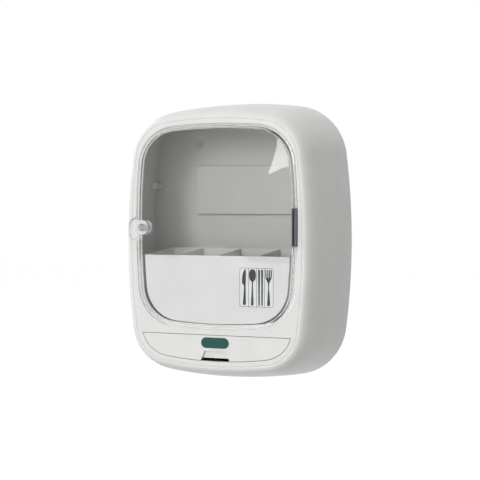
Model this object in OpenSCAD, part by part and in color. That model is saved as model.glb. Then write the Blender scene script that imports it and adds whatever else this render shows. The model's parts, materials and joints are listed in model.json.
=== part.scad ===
// Wall holder for chopsticks, spoons and ladles, with a clear hinged door,
// a lift-out caddy with three plug-in dividers and a drip tray below.
// X runs to the viewer's right, the front faces -Y and Z is up.
// The wall plane is Y = 0 and the origin is the middle of the wall bracket.

/* [Body] */
// Width of the body across its rear rim
body_w = 280; // [262:2:320]
// Height of the body down its rear rim
body_h = 360; // [348:2:400]
// Depth of the body from its rear rim to its front face
body_d = 122.5; // [112:0.5:150]
// Bow radius of the two long sides
side_bow_r = 894; // [760:2:1200]
// Bow radius of the top and the bottom
end_bow_r = 515; // [460:5:640]
// Radius of the four corners
corner_r = 72; // [64:1:84]
// How far the flank draws in between rear rim and front face
flank_inset = 26.3; // [22:0.1:28]
// Power of the flank's curve, where more is a squarer front edge
flank_power = 2.57; // [2:0.01:3.6]
// Wall of the shell
shell_wall = 3; // [2.4:0.1:3.6]
// Thickness of the front face plate
front_t = 7; // [6.4:0.1:8]
// Gap between the rear rim and the wall
rear_gap = 0.8; // [0.4:0.1:2]

/* [Door] */
// Width of the clear door
door_w = 214.4; // [204:0.2:218]
// Height of the clear door
door_h = 254.2; // [244:0.2:258]
// Height of the door's middle above the body's middle
door_up = 20; // [17:0.5:22]
// Bow radius of the door's two long sides
door_side_r = 923; // [760:1:1200]
// Bow radius of the door's top and bottom
door_end_r = 630; // [500:5:800]
// Radius of the door's four corners
door_corner_r = 50; // [42:1:58]
// Width of the flat flange round the door
door_flange = 5.5; // [5:0.1:6.5]
// Distance of the step's foot inside the door's edge
step_in = 2.5; // [2:0.1:3]
// Thickness of the flange
flange_t = 2.4; // [2:0.1:2.8]
// Thickness of the clear skin inside the flange
door_skin = 2.2; // [1.6:0.1:3]
// How far the clear skin stands out from the flange at its foot
door_rise = 6; // [4:0.1:9]
// How much further the middle of the skin crowns out
door_crown = 3.5; // [1:0.1:8]
// Width of the rounded step from the flange up to the skin
door_step = 3; // [2.6:0.1:4]
// Gap all round the door
door_gap = 0.5; // [0.4:0.05:0.8]
// Depth of the rebate that the flange lies in
rebate_d = 3.4; // [3.3:0.1:4]

/* [Hinge] */
// Length of the hinge from end to end
hinge_h = 46; // [36:1:60]
// Length of each fixed lug
lug_h = 5.5; // [4:0.5:8]
// Outer radius of the barrel and the lugs
barrel_r = 2.3; // [2.1:0.05:2.5]
// Radius of the steel pin
pin_r = 1.2; // [1:0.05:1.5]
// Radial play of the turning barrel on its pin
pin_play = 0.06; // [0.03:0.01:0.1]
// Distance of the pin inside the door's edge
pin_in = 1.9; // [1.7:0.05:2]
// Distance of the pin in front of the front face
pin_out = 0.4; // [0.3:0.05:0.6]
// Width of the leaf that joins the barrel to the door
leaf_w = 3.2; // [3:0.1:3.6]
// Reach of the hinge bracket's base from the pin towards the opening
hinge_base_in = 3.4; // [2.6:0.1:3.4]
// Thickness of the hinge bracket's base
hinge_base_t = 1.2; // [1:0.1:1.6]
// End play between the barrel and each lug
end_play = 0.3; // [0.2:0.05:0.5]

/* [Catch] */
// Radius of the round clear knob
knob_r = 9.3; // [8:0.1:11]
// How far the knob stands out past the foot of the skin
knob_out = 1; // [0.6:0.1:3]
// Height of the knob's middle above the body's middle
knob_up = 18.5; // [14:0.5:24]
// Distance of the knob's middle inside the door's edge
knob_in = 10.2; // [9:0.1:10.5]
// Reach of the finger tab past the door's edge
tab_reach = 5.9; // [4:0.1:8]
// Height of the finger tab
tab_h = 23; // [18:0.5:25]
// Thickness of the finger tab
tab_t = 2.2; // [1.8:0.1:3]
// Corner radius of the finger tab
tab_r = 3.8; // [2:0.1:4.5]
// Drop of the tab's and scoop's middle below the knob's middle
tab_drop = 2.4; // [0:0.1:4]
// Radius of the finger scoop in the body
scoop_r = 15; // [14:0.5:18]
// Depth of the finger scoop below the front face
scoop_d = 5; // [4.6:0.1:5.4]
// Distance of the scoop's middle inside the door's edge
scoop_in = 1.2; // [0:0.1:3]
// Radius of the catch magnet
magnet_r = 4; // [3:0.1:5]
// Thickness of the catch magnet
magnet_t = 2.4; // [1.5:0.1:2.6]
// Radius of the rivet's head in the knob
rivet_r = 4.6; // [3.5:0.1:5.5]
// Thickness of the rivet's head
rivet_t = 1.2; // [0.8:0.1:2]
// Radius of the rivet's shank
rivet_shank_r = 1.6; // [1.2:0.1:2.2]

/* [Caddy] */
// Distance of the caddy's face behind the body's front face
caddy_back = 3; // [2:0.1:4]
// Depth of the caddy from its face to its rear
caddy_d = 86; // [70:1:88]
// Height of the caddy's front edge against the body's middle
caddy_top = -16; // [-30:1:0]
// Rise of the caddy's top from front to rear
caddy_rise = 6.5; // [0:0.5:12]
// Wall of the caddy
caddy_wall = 2; // [1.6:0.1:2.6]
// Gap between the caddy's sides and the door opening
caddy_gap = 4; // [3:0.1:5]
// Height of the caddy's foot above the door opening's lower edge
caddy_sit = 1; // [0.6:0.1:2]
// How much rounder the caddy's lower corners are than the opening's
caddy_round = 1; // [0:0.5:8]
// Thickness of a divider
divider_t = 1.6; // [1.2:0.1:2.4]
// Spacing of the dividers
divider_pitch = 53.5; // [46:0.5:56]
// Play of a divider between its guide ribs and off the floor
divider_play = 0.3; // [0.2:0.05:0.4]
// Size of the square ribs that guide a divider's ends
guide = 1.4; // [1.2:0.1:2]
// Gap between the caddy's face wall and a divider
divider_in = 2.5; // [2:0.1:4]
// Width of a drain slot in the caddy's floor
caddy_slot_w = 4; // [3:0.5:6]
// Spacing of the drain slots in the caddy's floor
caddy_slot_pitch = 11; // [8:0.5:12]
// Length of a drain slot in the caddy's floor
caddy_slot_l = 52; // [30:1:60]

/* [Label] */
// Width of the label on the caddy's face
label_w = 45.6; // [30:0.2:48]
// Height of the label
label_h = 49.5; // [30:0.5:52]
// Corner radius of the label
label_r = 2; // [1:0.5:4]
// Distance of the label's middle to the right of the body's middle
label_x = 54; // [40:0.5:56]
// Height of the label's middle against the body's middle
label_z = -54; // [-58:0.5:-50]
// Thickness of the label
label_t = 0.3; // [0.2:0.05:0.6]

/* [Deck] */
// Thickness of the deck that carries the caddy
deck_t = 2.5; // [2:0.1:4]
// Gap between the deck and the caddy, and between other still pieces
seat_gap = 0.3; // [0.2:0.05:0.4]
// Gap between pieces that are pressed or glued together
press_gap = 0.1; // [0.05:0.01:0.15]
// Width of the ribs under the deck and the tray
rib_w = 6; // [4:0.5:8]
// Height of the ribs under the deck
deck_rib_h = 8; // [6:0.5:9]
// Distance of the deck ribs from the middle
deck_rib_x = 85; // [78:1:88]
// Number of drain slots through the deck
deck_slots = 9; // [3:2:11]
// Width of a drain slot through the deck
deck_slot_w = 8; // [4:0.5:10]
// Length of a drain slot through the deck
deck_slot_l = 64; // [40:1:70]
// Spacing of the drain slots through the deck
deck_slot_pitch = 17; // [14:0.5:18]

// Radius of a deck screw's shank
deck_screw_r = 1.2; // [1:0.05:1.6]
// Reach of a deck screw into the rib
deck_screw_l = 6; // [4:0.5:7]
// Radius of a deck screw's head
deck_head_r = 2.4; // [2:0.1:2.8]
// Thickness of a deck screw's head
deck_head_t = 1.4; // [1:0.1:1.6]
// Distance of the deck screws from the deck's front and rear edges
deck_screw_in = 16; // [10:1:24]

/* [Drip tray] */
// Height of the tray's top edge against the body's middle
tray_top = -114.7; // [-118:0.1:-114]
// Margin between the tray's face and the edge of the front face
tray_margin = 7; // [6:0.1:9]
// Gap all round the tray's face
tray_gap = 0.6; // [0.4:0.05:0.8]
// Thickness of the tray's face
tray_face_t = 3; // [2.5:0.1:4]
// Depth of the tray behind its face
tray_d = 96; // [70:1:104]
// Wall of the tray
tray_wall = 2; // [1.6:0.1:2.5]
// Inset of the tray's box inside its face
tray_in = 1.5; // [1.2:0.1:2]
// Drop of the tray's rim below its face's top edge
tray_rim_drop = 3; // [2:0.5:6]
// Height of the ribs under the tray
tray_rib_h = 4.5; // [3.5:0.1:5]
// Distance of the tray ribs from the middle
tray_rib_x = 45; // [34:1:50]
// Width of the finger notch at its foot
notch_w = 40; // [32:1:48]
// Width of the finger notch at its top
notch_top_w = 31; // [24:1:36]
// Height of the finger notch's top against the body's middle
notch_top = -134.2; // [-136:0.1:-133]
// Corner radius at the notch's top
notch_r = 3; // [1:0.5:4]
// Height of the recessed face inside the notch
notch_face_h = 9; // [8:0.1:9.5]
// Depth of the recessed face behind the tray's face
notch_back = 4.5; // [3.5:0.1:6]
// Wall of the hood behind the notch
hood_t = 1.6; // [1.2:0.1:2]
// Depth of the finger slot under the recessed face
slot_d = 16; // [12:0.5:20]

/* [Badge] */
// Width of the badge on the tray
badge_w = 37; // [30:0.5:44]
// Height of the badge
badge_h = 13.2; // [10:0.1:14]
// Height of the badge's middle against the body's middle
badge_z = -124; // [-125:0.1:-123]
// Thickness of the badge
badge_t = 0.8; // [0.4:0.1:1.2]

/* [Back panel and bracket] */
// Thickness of the back panel
back_t = 2.5; // [2:0.1:3]
// Recess of the back panel inside the rear rim
back_recess = 2.4; // [2:0.1:4]
// Height of the pocket's middle above the body's middle
body_drop = 63; // [50:1:80]
// Width of the pocket's opening
pocket_w = 140; // [120:2:160]
// Height of the pocket's opening
pocket_h = 53.6; // [50:0.2:60]
// Room in the pocket in front of the upstand
pocket_room = 2.5; // [2:0.1:3.5]
// Wall of the pocket
pocket_wall = 2; // [1.6:0.1:3]
// Width of the wall bracket
bracket_w = 124; // [110:2:136]
// Thickness of the wall bracket's plate
bracket_t = 3; // [2.5:0.1:3.2]
// Height of the bracket's plate
bracket_h = 42.5; // [38:0.5:44]
// Thickness of the bracket's ledge
ledge_t = 2.4; // [2:0.1:4]
// Height of the upstand in front of the ledge
upstand_h = 7; // [5:0.5:9]
// Thickness of the upstand
upstand_t = 2.5; // [2:0.1:4]
// Gap between the hanging rim and the bracket
hang_gap = 0.3; // [0.2:0.05:0.4]
// Spacing of the wall screws across
wall_pitch_x = 90; // [60:5:100]
// Spacing of the wall screws down
wall_pitch_z = 24; // [20:1:28]
// Radius of the holes for the wall screws
wall_hole_r = 2.25; // [2:0.05:3]
// Radius of the countersinks of the wall screws
sink_r = 4.1; // [3.9:0.1:4.2]
// Distance of the adhesive pads from the middle
pad_x = 24; // [20:1:26]
// Width of an adhesive pad
pad_w = 24; // [16:1:26]
// Height of an adhesive pad
pad_h = 32; // [20:1:34]
// Thickness of an adhesive pad
pad_t = 0.8; // [0.5:0.1:1.2]

/* [Fasteners and pads] */
// Radius of the bosses for the cover screws
boss_r = 5; // [4:0.1:6]
// How far a boss sinks into the shell's wall
boss_sink = 1.2; // [0.8:0.1:1.6]
// Length of the bosses
boss_l = 20; // [12:1:26]
// Radius of a cover screw's shank
screw_r = 1.5; // [1.2:0.05:1.8]
// Radius of a cover screw's head
head_r = 3.2; // [2.8:0.1:4]
// Thickness of a cover screw's head
head_t = 1.6; // [1.2:0.1:1.8]
// Length of a cover screw
screw_l = 14; // [8:0.5:18]
// Radial clearance of a screw in its hole
screw_play = 0.1; // [0.05:0.05:0.3]
// Height of the side screws above and below the body's middle
screw_up = 72; // [56:1:84]
// Radius of the round caps on the back panel
cap_r = 4.5; // [3.5:0.1:6]
// Thickness of the round caps
cap_t = 1.6; // [1:0.1:3]
// Distance of the caps from the middle
cap_x = 70; // [50:1:84]
// Distance of the caps below the body's top
cap_down = 52.5; // [48:0.5:68]
// Radius of a cap's stem
cap_stem_r = 2.5; // [2:0.1:3]
// Radius of the rubber pads against the wall
bumper_r = 9; // [6:0.5:12]
// Distance of the rubber pads from the middle
bumper_x = 80; // [60:1:90]
// Distance of the rubber pads above the body's foot
bumper_up = 62; // [58:1:110]

/* [Hidden] */

$fn = 48;
eps = 0.01;
caddy_slot_reach = 30;
side_steps = 4;
end_steps = 5;
corner_steps = 9;
flank_steps = 9;
lining_steps = 4;
cut_over = 1;

front_y = -rear_gap - body_d;
plate_back_y = front_y + front_t;
floor_y = front_y + rebate_d;
back_rear_y = -rear_gap - back_recess;
back_fore_y = back_rear_y - back_t;

// An outline is [half width, half height, side radius, end radius, corner radius].
body_line = [body_w / 2, body_h / 2, side_bow_r, end_bow_r, corner_r];
door_line = [door_w / 2, door_h / 2, door_side_r, door_end_r, door_corner_r];
caddy_line = [
    door_w / 2 - door_flange - caddy_gap,
    door_h / 2 - door_flange - caddy_sit,
    door_side_r,
    door_end_r,
    door_corner_r - door_flange + caddy_round
];

// Middle of the corner arc that runs smoothly into both bows.
function corner_middle(line) =
    let (
        side = [line[0] - line[2], 0],
        end = [0, line[1] - line[3]],
        side_r = line[2] - line[4],
        end_r = line[3] - line[4],
        apart = norm(end - side),
        along = (end - side) / apart,
        reach = (side_r * side_r - end_r * end_r + apart * apart) / (2 * apart),
        off = sqrt(side_r * side_r - reach * reach)
    )
    side + reach * along + off * [-along.y, along.x];

function arc(middle, r, from, to, steps) =
    [for (i = [0 : steps - 1]) let (a = from + (to - from) * i / steps) middle + r * [cos(a), sin(a)]];

// Points of an outline drawn in by an inset, counted from the right side upwards.
function outline(line, inset = 0) =
    let (
        side = [line[0] - line[2], 0],
        end = [0, line[1] - line[3]],
        c = corner_middle(line),
        a = atan2(c.y - side.y, c.x - side.x),
        b = atan2(c.y - end.y, c.x - end.x),
        rs = line[2] - inset,
        rt = line[3] - inset,
        rc = line[4] - inset
    )
    concat(
        arc(side, rs, -a, a, 2 * side_steps),
        arc(c, rc, a, b, corner_steps),
        arc(end, rt, b, 180 - b, 2 * end_steps),
        arc([-c.x, c.y], rc, 180 - b, 180 - a, corner_steps),
        arc(-side, rs, 180 - a, 180 + a, 2 * side_steps),
        arc(-c, rc, 180 + a, 180 + b, corner_steps),
        arc(-end, rt, 180 + b, 360 - b, 2 * end_steps),
        arc([c.x, -c.y], rc, 360 - b, 360 - a, corner_steps)
    );

// Half width of an outline at a height, on its side arc or its corner arc.
function half_width(line, inset, z) =
    let (c = corner_middle(line), side = line[0] - line[2], edge = (line[2] - inset) * c.y / (line[2] - line[4]))
    abs(z) < edge
        ? side + sqrt(pow(line[2] - inset, 2) - z * z)
        : c.x + sqrt(pow(line[4] - inset, 2) - pow(abs(z) - c.y, 2));

// Height of an outline's lower edge at a distance from the middle.
function lower_edge(line, inset, x) =
    line[3] - line[1] - sqrt(pow(line[3] - inset, 2) - x * x);

// How far the flank has drawn in at a share of the body's depth.
function flank(share) = flank_inset * (1 - pow(1 - share, 1 / flank_power));
function flank_at(y) = flank(min(1, max(0, (-rear_gap - y) / body_d)));

function raised(points, z) = [for (p = points) [p.x, p.y + z]];
function ring(points, y) = [for (p = points) [p.x, y, p.y]];
function shrunk(points, share) = [for (p = points) [p.x * share, door_up + (p.y - door_up) * share]];

// A solid through a list of rings, closed with a flat face at each end.
// The first ring closes the solid's front.
module capped_loft(rings) {
    n = len(rings[0]);
    m = len(rings);
    points = [for (r = rings) each r];
    sides = [
        for (k = [0 : m - 2])
            for (i = [0 : n - 1])
                let (a = k * n, b = (k + 1) * n, j = (i + 1) % n)
                each [[a + i, a + j, b + j], [a + i, b + j, b + i]]
    ];
    first = [for (i = [n - 1 : -1 : 0]) i];
    last = [for (i = [0 : n - 1]) (m - 1) * n + i];
    polyhedron(points, concat(sides, [first], [last]));
}

// A straight bar along Y from a rear plane to a front plane.
module bar(points, rear_y, fore_y) {
    translate([0, rear_y, 0])
        rotate([90, 0, 0])
            linear_extrude(rear_y - fore_y)
                polygon(points);
}

module block(x, y, z) {
    translate([x[0], y[0], z[0]])
        cube([x[1] - x[0], y[1] - y[0], z[1] - z[0]]);
}

// A round rod along Y between two planes.
module rod_y(x, z, r, rear_y, fore_y) {
    translate([x, rear_y, z])
        rotate([90, 0, 0])
            cylinder(r = r, h = rear_y - fore_y);
}

// A flat plate along Y with rounded corners, rear face first.
module rounded_plate(x, z, w, h, r, rear_y, fore_y) {
    translate([x, rear_y, z])
        rotate([90, 0, 0])
            linear_extrude(rear_y - fore_y) {
                square([w - 2 * r, h], center = true);
                square([w, h - 2 * r], center = true);
                for (i = [-1, 1])
                    for (k = [-1, 1])
                        translate([i * (w / 2 - r), k * (h / 2 - r)])
                            circle(r);
            }
}

// Places pieces that are drawn about the body's middle.
module at_body() {
    translate([0, 0, -body_drop])
        children();
}

// Wall bracket
bracket_top = pocket_h / 2 - hang_gap - ledge_t;
upstand_rear_y = back_fore_y - hang_gap;
upstand_fore_y = upstand_rear_y - upstand_t;
pocket_floor_y = upstand_fore_y - pocket_room;
pad_z = bracket_top - bracket_h / 2;

module wall_holes() {
    for (i = [-1, 1])
        for (k = [-1, 1])
            translate([i * wall_pitch_x / 2, 0, k * wall_pitch_z / 2])
                rotate([90, 0, 0]) {
                    translate([0, 0, -cut_over])
                        cylinder(r = wall_hole_r, h = bracket_t + 2 * cut_over);
                    translate([0, 0, bracket_t - (sink_r - wall_hole_r)])
                        cylinder(r1 = wall_hole_r, r2 = sink_r + cut_over, h = sink_r - wall_hole_r + cut_over);
                }
}

module wall_plate() {
    color([0.86, 0.86, 0.84])
        difference() {
            union() {
                block([-bracket_w / 2, bracket_w / 2], [-bracket_t, 0], [bracket_top - bracket_h, bracket_top + ledge_t]);
                block([-bracket_w / 2, bracket_w / 2], [upstand_fore_y, -bracket_t / 2], [bracket_top, bracket_top + ledge_t]);
                block(
                    [-bracket_w / 2, bracket_w / 2],
                    [upstand_fore_y, upstand_rear_y],
                    [bracket_top, bracket_top + ledge_t + upstand_h]
                );
            }
            wall_holes();
            for (i = [-1, 1])
                block(
                    [i * pad_x - pad_w / 2, i * pad_x + pad_w / 2],
                    [-pad_t, cut_over],
                    [pad_z - pad_h / 2, pad_z + pad_h / 2]
                );
        }
}

module adhesive_pads() {
    color([0.35, 0.36, 0.38])
        for (i = [-1, 1])
            block(
                [i * pad_x - pad_w / 2 + seat_gap, i * pad_x + pad_w / 2 - seat_gap],
                [-pad_t, 0],
                [pad_z - pad_h / 2 + seat_gap, pad_z + pad_h / 2 - seat_gap]
            );
}

// Body shell
boss_end_y = back_fore_y - seat_gap - boss_l;
boss_in = flank_at(boss_end_y) + shell_wall + boss_r - boss_sink;
screw_sites = [
    for (i = [-1, 1]) for (k = [-1, 1]) [i * (half_width(body_line, 0, screw_up) - boss_in), k * screw_up],
    for (k = [-1, 1]) [0, k * (body_h / 2 - boss_in)]
];
knob_x = -door_w / 2 + knob_in;
tab_up = knob_up - tab_drop;
scoop_x = -door_w / 2 + scoop_in;
hinge_x = door_w / 2 - pin_in;
hinge_y = front_y - pin_out;
magnet_rear_y = floor_y + magnet_t;

function door_ring(inset, y) = ring(raised(outline(door_line, inset), door_up), y);
function flank_ring(share) = ring(outline(body_line, flank(share)), -rear_gap - share * body_d);
function lining_ring(share) =
    ring(outline(body_line, flank(share) + shell_wall), -rear_gap - share * (body_d - front_t));

// Shares of the depth, crowded towards the front where the flank turns in.
flank_shares = [for (i = [flank_steps : -1 : 0]) 1 - pow(1 - i / flank_steps, flank_power)];
lining_shares = [for (i = [0 : lining_steps]) 1 - pow(1 - i / lining_steps, flank_power)];

module door_bar(inset, rear_y, fore_y) {
    bar(raised(outline(door_line, inset), door_up), rear_y, fore_y);
}

module tray_window() {
    intersection() {
        bar(outline(body_line, flank_inset + tray_margin - tray_gap), plate_back_y + cut_over, front_y - cut_over);
        block(
            [-body_w / 2, body_w / 2],
            [front_y - 2 * cut_over, plate_back_y + 2 * cut_over],
            [-body_h / 2, tray_top + tray_gap]
        );
    }
}

// The plain cup of the shell, with its front face still whole.
module shell_cup() {
    capped_loft(concat(
        [for (s = flank_shares) flank_ring(s)],
        [for (s = lining_shares) lining_ring(s)]
    ));
}

module outer_shell() {
    color([0.91, 0.91, 0.9])
        difference() {
            union() {
                difference() {
                    shell_cup();
                    door_bar(door_flange, plate_back_y + cut_over, front_y - cut_over);
                }
                rod_y(knob_x, knob_up, knob_r, plate_back_y, floor_y);
                for (p = screw_sites)
                    rod_y(p.x, p.y, boss_r, back_fore_y - seat_gap, boss_end_y);
            }
            door_bar(-door_gap, floor_y, front_y - cut_over);
            tray_window();
            rod_y(scoop_x, tab_up, scoop_r, front_y + scoop_d, front_y - cut_over);
            rod_y(knob_x, knob_up, magnet_r + screw_play, magnet_rear_y, floor_y - cut_over);
            block(
                [door_w / 2 - door_flange - cut_over, door_w / 2 + door_gap - eps],
                [front_y, floor_y + hinge_base_t],
                [door_up - hinge_h / 2 - seat_gap, door_up + hinge_h / 2 + seat_gap]
            );
            for (p = screw_sites)
                rod_y(p.x, p.y, screw_r, back_fore_y, back_fore_y - screw_l);
        }
}

// Back panel with the bracket's pocket and the ribs that carry deck and tray
deck_top = door_up - door_h / 2 + door_flange + caddy_sit - seat_gap;
deck_bottom = deck_top - deck_t;
tray_rib_top = lower_edge(body_line, flank_inset + tray_margin + tray_in, tray_rib_x - rib_w / 2) - seat_gap;

module back_panel() {
    color([0.86, 0.86, 0.85])
        difference() {
            union() {
                bar(outline(body_line, shell_wall + flank_at(back_fore_y) + seat_gap), back_rear_y, back_fore_y);
                block(
                    [-pocket_w / 2 - pocket_wall, pocket_w / 2 + pocket_wall],
                    [pocket_floor_y - pocket_wall, back_fore_y + back_t / 2],
                    [
                        body_drop - pocket_h / 2 - pocket_wall,
                        body_drop + bracket_top + ledge_t + upstand_h + seat_gap + pocket_wall
                    ]
                );
                for (i = [-1, 1]) {
                    block(
                        [i * deck_rib_x - rib_w / 2, i * deck_rib_x + rib_w / 2],
                        [plate_back_y + seat_gap, back_fore_y + back_t / 2],
                        [deck_bottom - deck_rib_h, deck_bottom]
                    );
                    block(
                        [i * tray_rib_x - rib_w / 2, i * tray_rib_x + rib_w / 2],
                        [plate_back_y + seat_gap, back_fore_y + back_t / 2],
                        [tray_rib_top - tray_rib_h, tray_rib_top]
                    );
                }
            }
            block(
                [-pocket_w / 2, pocket_w / 2],
                [pocket_floor_y, back_fore_y],
                [body_drop - pocket_h / 2, body_drop + bracket_top + ledge_t + upstand_h + seat_gap]
            );
            block(
                [-pocket_w / 2, pocket_w / 2],
                [back_fore_y - eps, back_rear_y + cut_over],
                [body_drop - pocket_h / 2, body_drop + pocket_h / 2]
            );
            for (p = screw_sites)
                rod_y(p.x, p.y, screw_r + screw_play, back_rear_y + cut_over, back_fore_y - cut_over);
            for (i = [-1, 1])
                rod_y(i * cap_x, body_h / 2 - cap_down, cap_stem_r + screw_play, back_rear_y + cut_over, back_fore_y - cut_over);
            for (p = deck_screw_sites)
                translate([p.x, p.y, deck_bottom - deck_screw_l])
                    cylinder(r = deck_screw_r, h = deck_screw_l + cut_over);
        }
}

// Deck under the caddy
deck_rear_y = back_fore_y - seat_gap;
deck_fore_y = plate_back_y + seat_gap;
deck_screw_sites = [for (i = [-1, 1]) for (y = [deck_fore_y + deck_screw_in, deck_rear_y - deck_screw_in]) [i * deck_rib_x, y]];
deck_steps = 8;
deck_edge = [
    for (i = [0 : deck_steps])
        let (y = deck_rear_y + (deck_fore_y - deck_rear_y) * i / deck_steps)
        [half_width(body_line, lining_inset(y) + seat_gap, deck_bottom), y]
];

// Inset of the shell's inner face at a depth, on the straight runs between its rings.
function lining_inset(y) =
    let (
        share = min(1, max(0, (-rear_gap - y) / (body_d - front_t))),
        k = min(lining_steps - 1, floor(lining_steps * (1 - pow(1 - share, 1 / flank_power)))),
        run = lining_shares[k + 1] - lining_shares[k]
    )
    shell_wall + flank_inset * (k + (share - lining_shares[k]) / run) / lining_steps;

module deck() {
    color([0.84, 0.85, 0.84])
        difference() {
            translate([0, 0, deck_bottom])
                linear_extrude(deck_t)
                    polygon(concat(deck_edge, [for (i = [deck_steps : -1 : 0]) [-deck_edge[i].x, deck_edge[i].y]]));
            for (i = [-(deck_slots - 1) / 2 : (deck_slots - 1) / 2])
                translate([
                    i * deck_slot_pitch - deck_slot_w / 2,
                    (deck_rear_y + deck_fore_y - deck_slot_l) / 2,
                    deck_bottom - cut_over
                ])
                    cube([deck_slot_w, deck_slot_l, deck_t + 2 * cut_over]);
            for (p = deck_screw_sites)
                translate([p.x, p.y, deck_bottom - cut_over]) {
                    cylinder(r = deck_screw_r + screw_play, h = deck_t + 2 * cut_over);
                    translate([0, 0, cut_over + deck_t - deck_head_t - seat_gap])
                        cylinder(r = deck_head_r + screw_play, h = deck_head_t + seat_gap + cut_over);
                }
        }
}

module deck_screws() {
    color([0.7, 0.7, 0.72])
        for (p = deck_screw_sites)
            translate([p.x, p.y, deck_top - seat_gap - deck_head_t]) {
                cylinder(r = deck_head_r, h = deck_head_t);
                translate([0, 0, -deck_t + deck_head_t + seat_gap - deck_screw_l + seat_gap])
                    cylinder(r = deck_screw_r, h = deck_t - deck_head_t - seat_gap + deck_screw_l - seat_gap);
            }
}

module cover_screws() {
    color([0.7, 0.7, 0.72])
        for (p = screw_sites) {
            rod_y(p.x, p.y, head_r, back_rear_y + head_t, back_rear_y);
            rod_y(p.x, p.y, screw_r, back_rear_y + eps, back_rear_y - screw_l);
        }
}

module screw_caps() {
    color([0.8, 0.8, 0.79])
        for (i = [-1, 1]) {
            rod_y(i * cap_x, body_h / 2 - cap_down, cap_stem_r, back_rear_y, back_fore_y);
            rod_y(i * cap_x, body_h / 2 - cap_down, cap_r, back_fore_y, back_fore_y - cap_t);
        }
}

module wall_pads() {
    color([0.25, 0.25, 0.26])
        for (i = [-1, 1])
            rod_y(i * bumper_x, bumper_up - body_h / 2, bumper_r, 0, back_rear_y);
}

// Hinge on the right of the opening
module hinge_bracket() {
    color([0.42, 0.45, 0.48])
        difference() {
            union() {
                block(
                    [hinge_x - hinge_base_in, door_w / 2 + door_gap - seat_gap],
                    [floor_y, floor_y + hinge_base_t],
                    [door_up - hinge_h / 2, door_up + hinge_h / 2]
                );
                for (k = [-1, 1])
                    translate([hinge_x, 0, door_up + k * (hinge_h - lug_h) / 2 - lug_h / 2]) {
                        translate([0, hinge_y, 0])
                            cylinder(r = barrel_r, h = lug_h);
                        block([-barrel_r, barrel_r], [hinge_y, floor_y + hinge_base_t / 2], [0, lug_h]);
                    }
            }
            translate([hinge_x, hinge_y, door_up - hinge_h / 2 - cut_over])
                cylinder(r = pin_r + pin_play / 3, h = hinge_h + 2 * cut_over);
        }
}

module hinge_pin() {
    color([0.75, 0.75, 0.76])
        translate([hinge_x, hinge_y, door_up - hinge_h / 2])
            cylinder(r = pin_r, h = hinge_h);
}

module door_hinge() {
    barrel_h = hinge_h - 2 * lug_h - 2 * end_play;
    color([0.42, 0.45, 0.48])
        difference() {
            union() {
                translate([hinge_x, 0, door_up - barrel_h / 2]) {
                    translate([0, hinge_y, 0])
                        cylinder(r = barrel_r, h = barrel_h);
                    block([-leaf_w + press_gap, 0], [front_y, front_y + flange_t - seat_gap], [0, barrel_h]);
                }
                block(
                    [hinge_x - leaf_w + press_gap, hinge_x - barrel_r - press_gap],
                    [skin_foot_y + press_gap, front_y + flange_t - seat_gap],
                    [door_up - hinge_h / 2, door_up + hinge_h / 2]
                );
            }
            translate([hinge_x, hinge_y, door_up - hinge_h / 2])
                cylinder(r = pin_r + pin_play, h = hinge_h);
        }
}

// Door
skin_foot_y = front_y - door_rise;

function skin_ring(share, y) = ring(shrunk(raised(outline(door_line, step_in + door_step), door_up), share), y);
function crown_y(share) = skin_foot_y - door_crown * (1 - share * share);

// The step is a quarter of an ellipse in section, from the flange up to the skin.
function step_ring(inset, width, y, rise, a) = door_ring(inset + width * (1 - cos(a)), y - rise * sin(a));

// Rings of the crowned skin as shares of its width, and of the step as angles.
crown_shares = [0.12, 0.4, 0.65, 0.85];
step_angles = [0, 30, 60];

module door_panel() {
    outer = concat(
        [for (s = crown_shares) skin_ring(s, crown_y(s))],
        [door_ring(step_in + door_step, skin_foot_y)],
        [
            for (i = [len(step_angles) - 1 : -1 : 0])
                step_ring(step_in, door_step, front_y, door_rise, step_angles[i])
        ],
        [door_ring(0, front_y)]
    );
    inner = concat(
        [door_ring(0, front_y + flange_t)],
        [
            for (a = step_angles)
                step_ring(
                    step_in + door_skin,
                    door_step - door_skin,
                    front_y + flange_t,
                    door_rise + flange_t - door_skin,
                    a
                )
        ],
        [door_ring(step_in + door_step, skin_foot_y + door_skin)],
        [for (i = [len(crown_shares) - 1 : -1 : 0]) skin_ring(crown_shares[i], crown_y(crown_shares[i]) + door_skin)]
    );
    color([0.85, 0.9, 0.92, 0.35])
        difference() {
            capped_loft(concat(outer, inner));
            rod_y(knob_x, knob_up, knob_r + press_gap, front_y + flange_t + cut_over, skin_foot_y - door_crown - cut_over);
            block(
                [hinge_x - leaf_w, door_w / 2 + cut_over],
                [skin_foot_y - cut_over, front_y + flange_t + cut_over],
                [door_up - hinge_h / 2 - seat_gap, door_up + hinge_h / 2 + seat_gap]
            );
        }
}

module door_knob() {
    knob_fore_y = skin_foot_y - knob_out;
    color([0.88, 0.92, 0.93, 0.5])
        difference() {
            union() {
                rod_y(knob_x, knob_up, knob_r, front_y + flange_t, knob_fore_y);
                rounded_plate(
                    -door_w / 2 - (tab_reach - step_in + press_gap) / 2,
                    tab_up,
                    tab_reach + step_in - press_gap,
                    tab_h,
                    tab_r,
                    front_y - door_gap,
                    front_y - door_gap - tab_t
                );
            }
            rod_y(knob_x, knob_up, rivet_shank_r + screw_play, front_y + flange_t + cut_over, knob_fore_y - cut_over);
            rod_y(knob_x, knob_up, rivet_r + screw_play, front_y + flange_t + cut_over, front_y + flange_t - rivet_t);
            rod_y(knob_x, knob_up, rivet_r + screw_play, knob_fore_y + rivet_t, knob_fore_y - cut_over);
        }
}

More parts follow.
